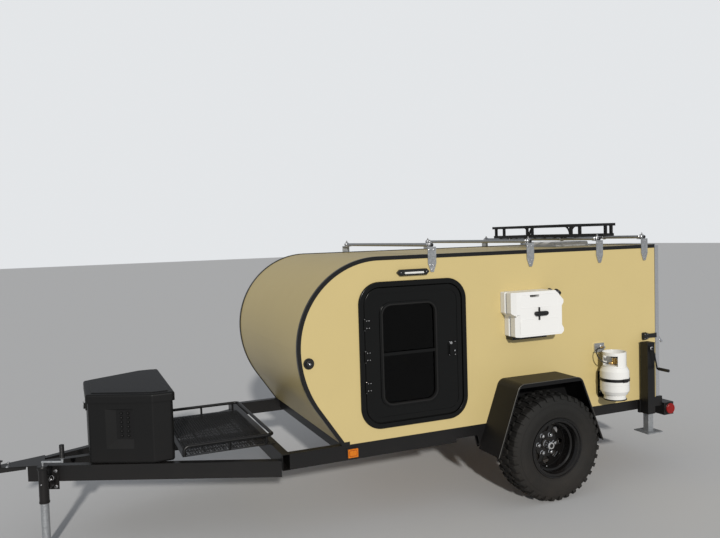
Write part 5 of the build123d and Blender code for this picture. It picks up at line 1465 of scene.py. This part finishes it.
class TRAILER_OT_jack_details(bpy.types.Operator):
    """Adds the rear jacks' pins, welds, hole rims and mounting bolts"""
    bl_idname = "trailer.jack_details"
    bl_label = "Rear Jack Details"

    def execute(self, context):
        steel, dark, weld, bolts = shapes(4)
        x, y = at(0.140), -0.840
        steel.lathe((x, y - 0.0425, 0.968), LEFT, [(14.5, 0), (14.5, 2), (11, 4)], 28)
        steel.mirrored().make("rear_jack_bolts", "steel", angle=32)
        dark.border(rounded(0.0760, 0.0060, 0.002, (x, 1.0085), 3),
                    [(0, -38), (1.2, -38), (1.2, 38), (0, 38)], 1, y)
        dark.mirrored().make("rear_jack_lips", "frame coat")
        weld.border(rounded(0.0512, 0.0512, 0.004, (x, y), 3),
                    [(6, 304.5), (4.5, 307.5), (0, 310.5), (-1.2, 310.5), (-1.2, 304.5)], 2)
        for k in range(12):
            weld.lathe((x, y - 0.0250, 0.345 + k * 0.040), LEFT,
                       [(6.2, 0), (6.2, 0.9), (5, 1.2), (4.5, 0.4)], 18)
        make_sides("rear_jack_leg", (weld, "rear_leg_details", "zinc"))
        for y in (-0.70, -0.50, 0.50, 0.70):
            bolts.bolt((at(-0.1205), y, 0.4965), UP, 8.5, 6)
        bolts.make("bumper_bolts", "steel", angle=32)
        return {"FINISHED"}


# the galley: x and z of the shelf's rail, half the boards' width, the dividers to each side
SHELF_X, RAIL_Z, BOARD_SIDE, DIVIDER = 2.050, 1.4820, 0.7590, 0.260


class TRAILER_OT_galley_details(bpy.types.Operator):
    """Edges the galley's boards and adds the shelf's rail, screws and a light"""
    bl_idname = "trailer.galley_details"
    bl_label = "Galley Details"

    def execute(self, context):
        edge, rail, screws, lamp = shapes(4)
        for x, low, high in ((2.3195, 1.1085, 1.1295), (2.0595, 1.4285, 1.4435)):
            edge.block((x, -BOARD_SIDE, low), (x + 0.002, BOARD_SIDE, high))
        for y in either(DIVIDER):
            edge.block((2.3095, y - 0.0072, 0.5755), (2.3112, y + 0.0072, 1.1084))
        edge.make("galley_edges", "aluminium", bevel=0.0006)
        for y in (-0.70, -0.35, 0, 0.35, 0.70):
            rail.lathe((SHELF_X, y, RAIL_Z), UP, [(9.5, -40.5), (9.5, -37.5), (4.5, -35.5),
                                                  (4.5, 0)], 16)
        rail.tube([(SHELF_X, y, RAIL_Z) for y in either(0.735)], 4.8, 14)
        for y, way in ((-0.735, LEFT), (0.735, RIGHT)):
            rail.lathe((SHELF_X, y, RAIL_Z), way, [(4.6, -2), (6, 0), (6, 4), (4, 6)], 16)
        rail.make("galley_rail", "steel")
        for y in (-0.700, -0.440, -0.266, 0.266, 0.440, 0.700):
            screws.screw((2.290, y, 1.1278), UP, 3.6)
            screws.screw((2.045, y, 1.4298), DOWN, 3.6)
        screws.make("galley_screws", "steel")
        lamp.border(rounded(0.030, 0.012, 0.005, (2.360, 1.6935), 4),
                    [(0, -300), (0, 300), (-3, 300), (-3, -300)])
        lamp.make("galley_light", "white lens")
        return {"FINISHED"}


FLOOR_SIZE = 60.0
SKY, SKY_STRENGTH = (0.90, 0.94, 1.0, 1.0), 0.36
BACKDROP, BACKDROP_STRENGTH = (0.86, 0.88, 0.90, 1.0), 0.9
SUN_WAY, SUN_COLOUR, SUN_STRENGTH = Vector((0.24, 0.90, -0.36)), (1.0, 0.97, 0.92), 2.7
SUN_ANGLE = math.radians(2.5)
EYE, SIGHT, ROLL = (-1.9313, -4.9741, 1.920), Vector((0.3895, 0.9197, -0.0487)), -0.0303
FOCAL_PIXELS, IMAGE_WIDTH, SENSOR = 697.47, 720.0, 36.0


class TRAILER_OT_stage(bpy.types.Operator):
    """Sets the floor, the lights and the photograph's view"""
    bl_idname = "trailer.stage"
    bl_label = "Stage"

    def execute(self, context):
        scene = context.scene
        mesh = bpy.data.meshes.new("floor")
        mesh.from_pydata([(x, y, 0) for x, y in product(either(FLOOR_SIZE), repeat=2)], [],
                         [(0, 2, 3, 1)])
        mesh.materials.append(new_material("floor", lambda tree: {
            "Base Color": (0.60, 0.60, 0.60, 1.0), "Roughness": 0.9}))
        new_object("floor_plane", mesh)

        world = bpy.data.worlds.new("studio")
        world.use_nodes = True
        scene.world = world
        tree = world.node_tree
        back = tree.nodes["Background"]
        fill(tree, back, {"Color": SKY, "Strength": SKY_STRENGTH})
        rays = add(tree, "ShaderNodeLightPath").outputs
        seen = calc(tree, "MAXIMUM", rays["Is Camera Ray"], rays["Is Transmission Ray"])
        pale = add(tree, "ShaderNodeBackground", {"Color": BACKDROP,
                                                  "Strength": BACKDROP_STRENGTH})
        both = add(tree, "ShaderNodeMixShader", {0: seen, 1: back.outputs[0],
                                                 2: pale.outputs[0]})
        fill(tree, tree.nodes["World Output"], {"Surface": both.outputs[0]})

        sun = bpy.data.lights.new("key", "SUN")
        sun.energy, sun.color, sun.angle = SUN_STRENGTH, SUN_COLOUR, SUN_ANGLE
        new_object("key", sun).rotation_euler = SUN_WAY.to_track_quat("-Z", "Y").to_euler()

        forward = SIGHT.normalized()
        level = Vector((forward.y, -forward.x, 0)).normalized()
        up = level.cross(forward)
        right = level * math.cos(ROLL) + up * math.sin(ROLL)
        top = up * math.cos(ROLL) - level * math.sin(ROLL)
        camera = bpy.data.cameras.new("photo_view")
        camera.sensor_width = SENSOR
        camera.lens = SENSOR * FOCAL_PIXELS / IMAGE_WIDTH
        camera.clip_end = 200.0
        view = new_object("photo_view", camera)
        turn = Matrix((right, top, -forward)).transposed()
        view.matrix_world = Matrix.Translation(EYE) @ turn.to_4x4()
        scene.camera = view
        scene.view_settings.view_transform = "Standard"
        return {"FINISHED"}


class TRAILER_PT_panel(bpy.types.Panel):
    """Lists the trailer's settings and pieces"""
    bl_label = "Teardrop Trailer"
    bl_idname = "TRAILER_PT_panel"
    bl_space_type = "VIEW_3D"
    bl_region_type = "UI"
    bl_category = "Trailer"

    def draw(self, context):
        for name, kind in SETTINGS:
            box = self.layout.box()
            for item in kind.__annotations__:
                box.prop(getattr(context.scene, name), item)
        for operator in OPERATORS:
            self.layout.operator(operator.bl_idname)


SETTINGS = (("trailer_finish", FinishSettings), ("trailer_tyre", TyreSettings),
            ("trailer_mesh", MeshSettings), ("trailer_bed", BedSettings))
OPERATORS = (
    TRAILER_OT_finishes, TRAILER_OT_gas_hose, TRAILER_OT_tyres, TRAILER_OT_wheel_trim,
    TRAILER_OT_deck_mesh, TRAILER_OT_mattress, TRAILER_OT_roof_hardware,
    TRAILER_OT_door_details, TRAILER_OT_wall_fittings, TRAILER_OT_fender_edges,
    TRAILER_OT_spring_hardware, TRAILER_OT_lamps, TRAILER_OT_box_details,
    TRAILER_OT_tongue_details, TRAILER_OT_hatch_details, TRAILER_OT_bottle_details,
    TRAILER_OT_jack_details, TRAILER_OT_galley_details, TRAILER_OT_stage)
CLASSES = tuple(kind for name, kind in SETTINGS) + OPERATORS + (TRAILER_PT_panel,)


def register():
    for item in CLASSES:
        bpy.utils.register_class(item)
    for name, kind in SETTINGS:
        setattr(bpy.types.Scene, name, PointerProperty(type=kind))


def unregister():
    for name, kind in SETTINGS:
        delattr(bpy.types.Scene, name)
    for item in reversed(CLASSES):
        bpy.utils.unregister_class(item)


def main():
    register()
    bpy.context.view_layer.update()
    for operator in OPERATORS:
        group_name, action = operator.bl_idname.split(".")
        getattr(getattr(bpy.ops, group_name), action)()


if __name__ == "__main__":
    main()
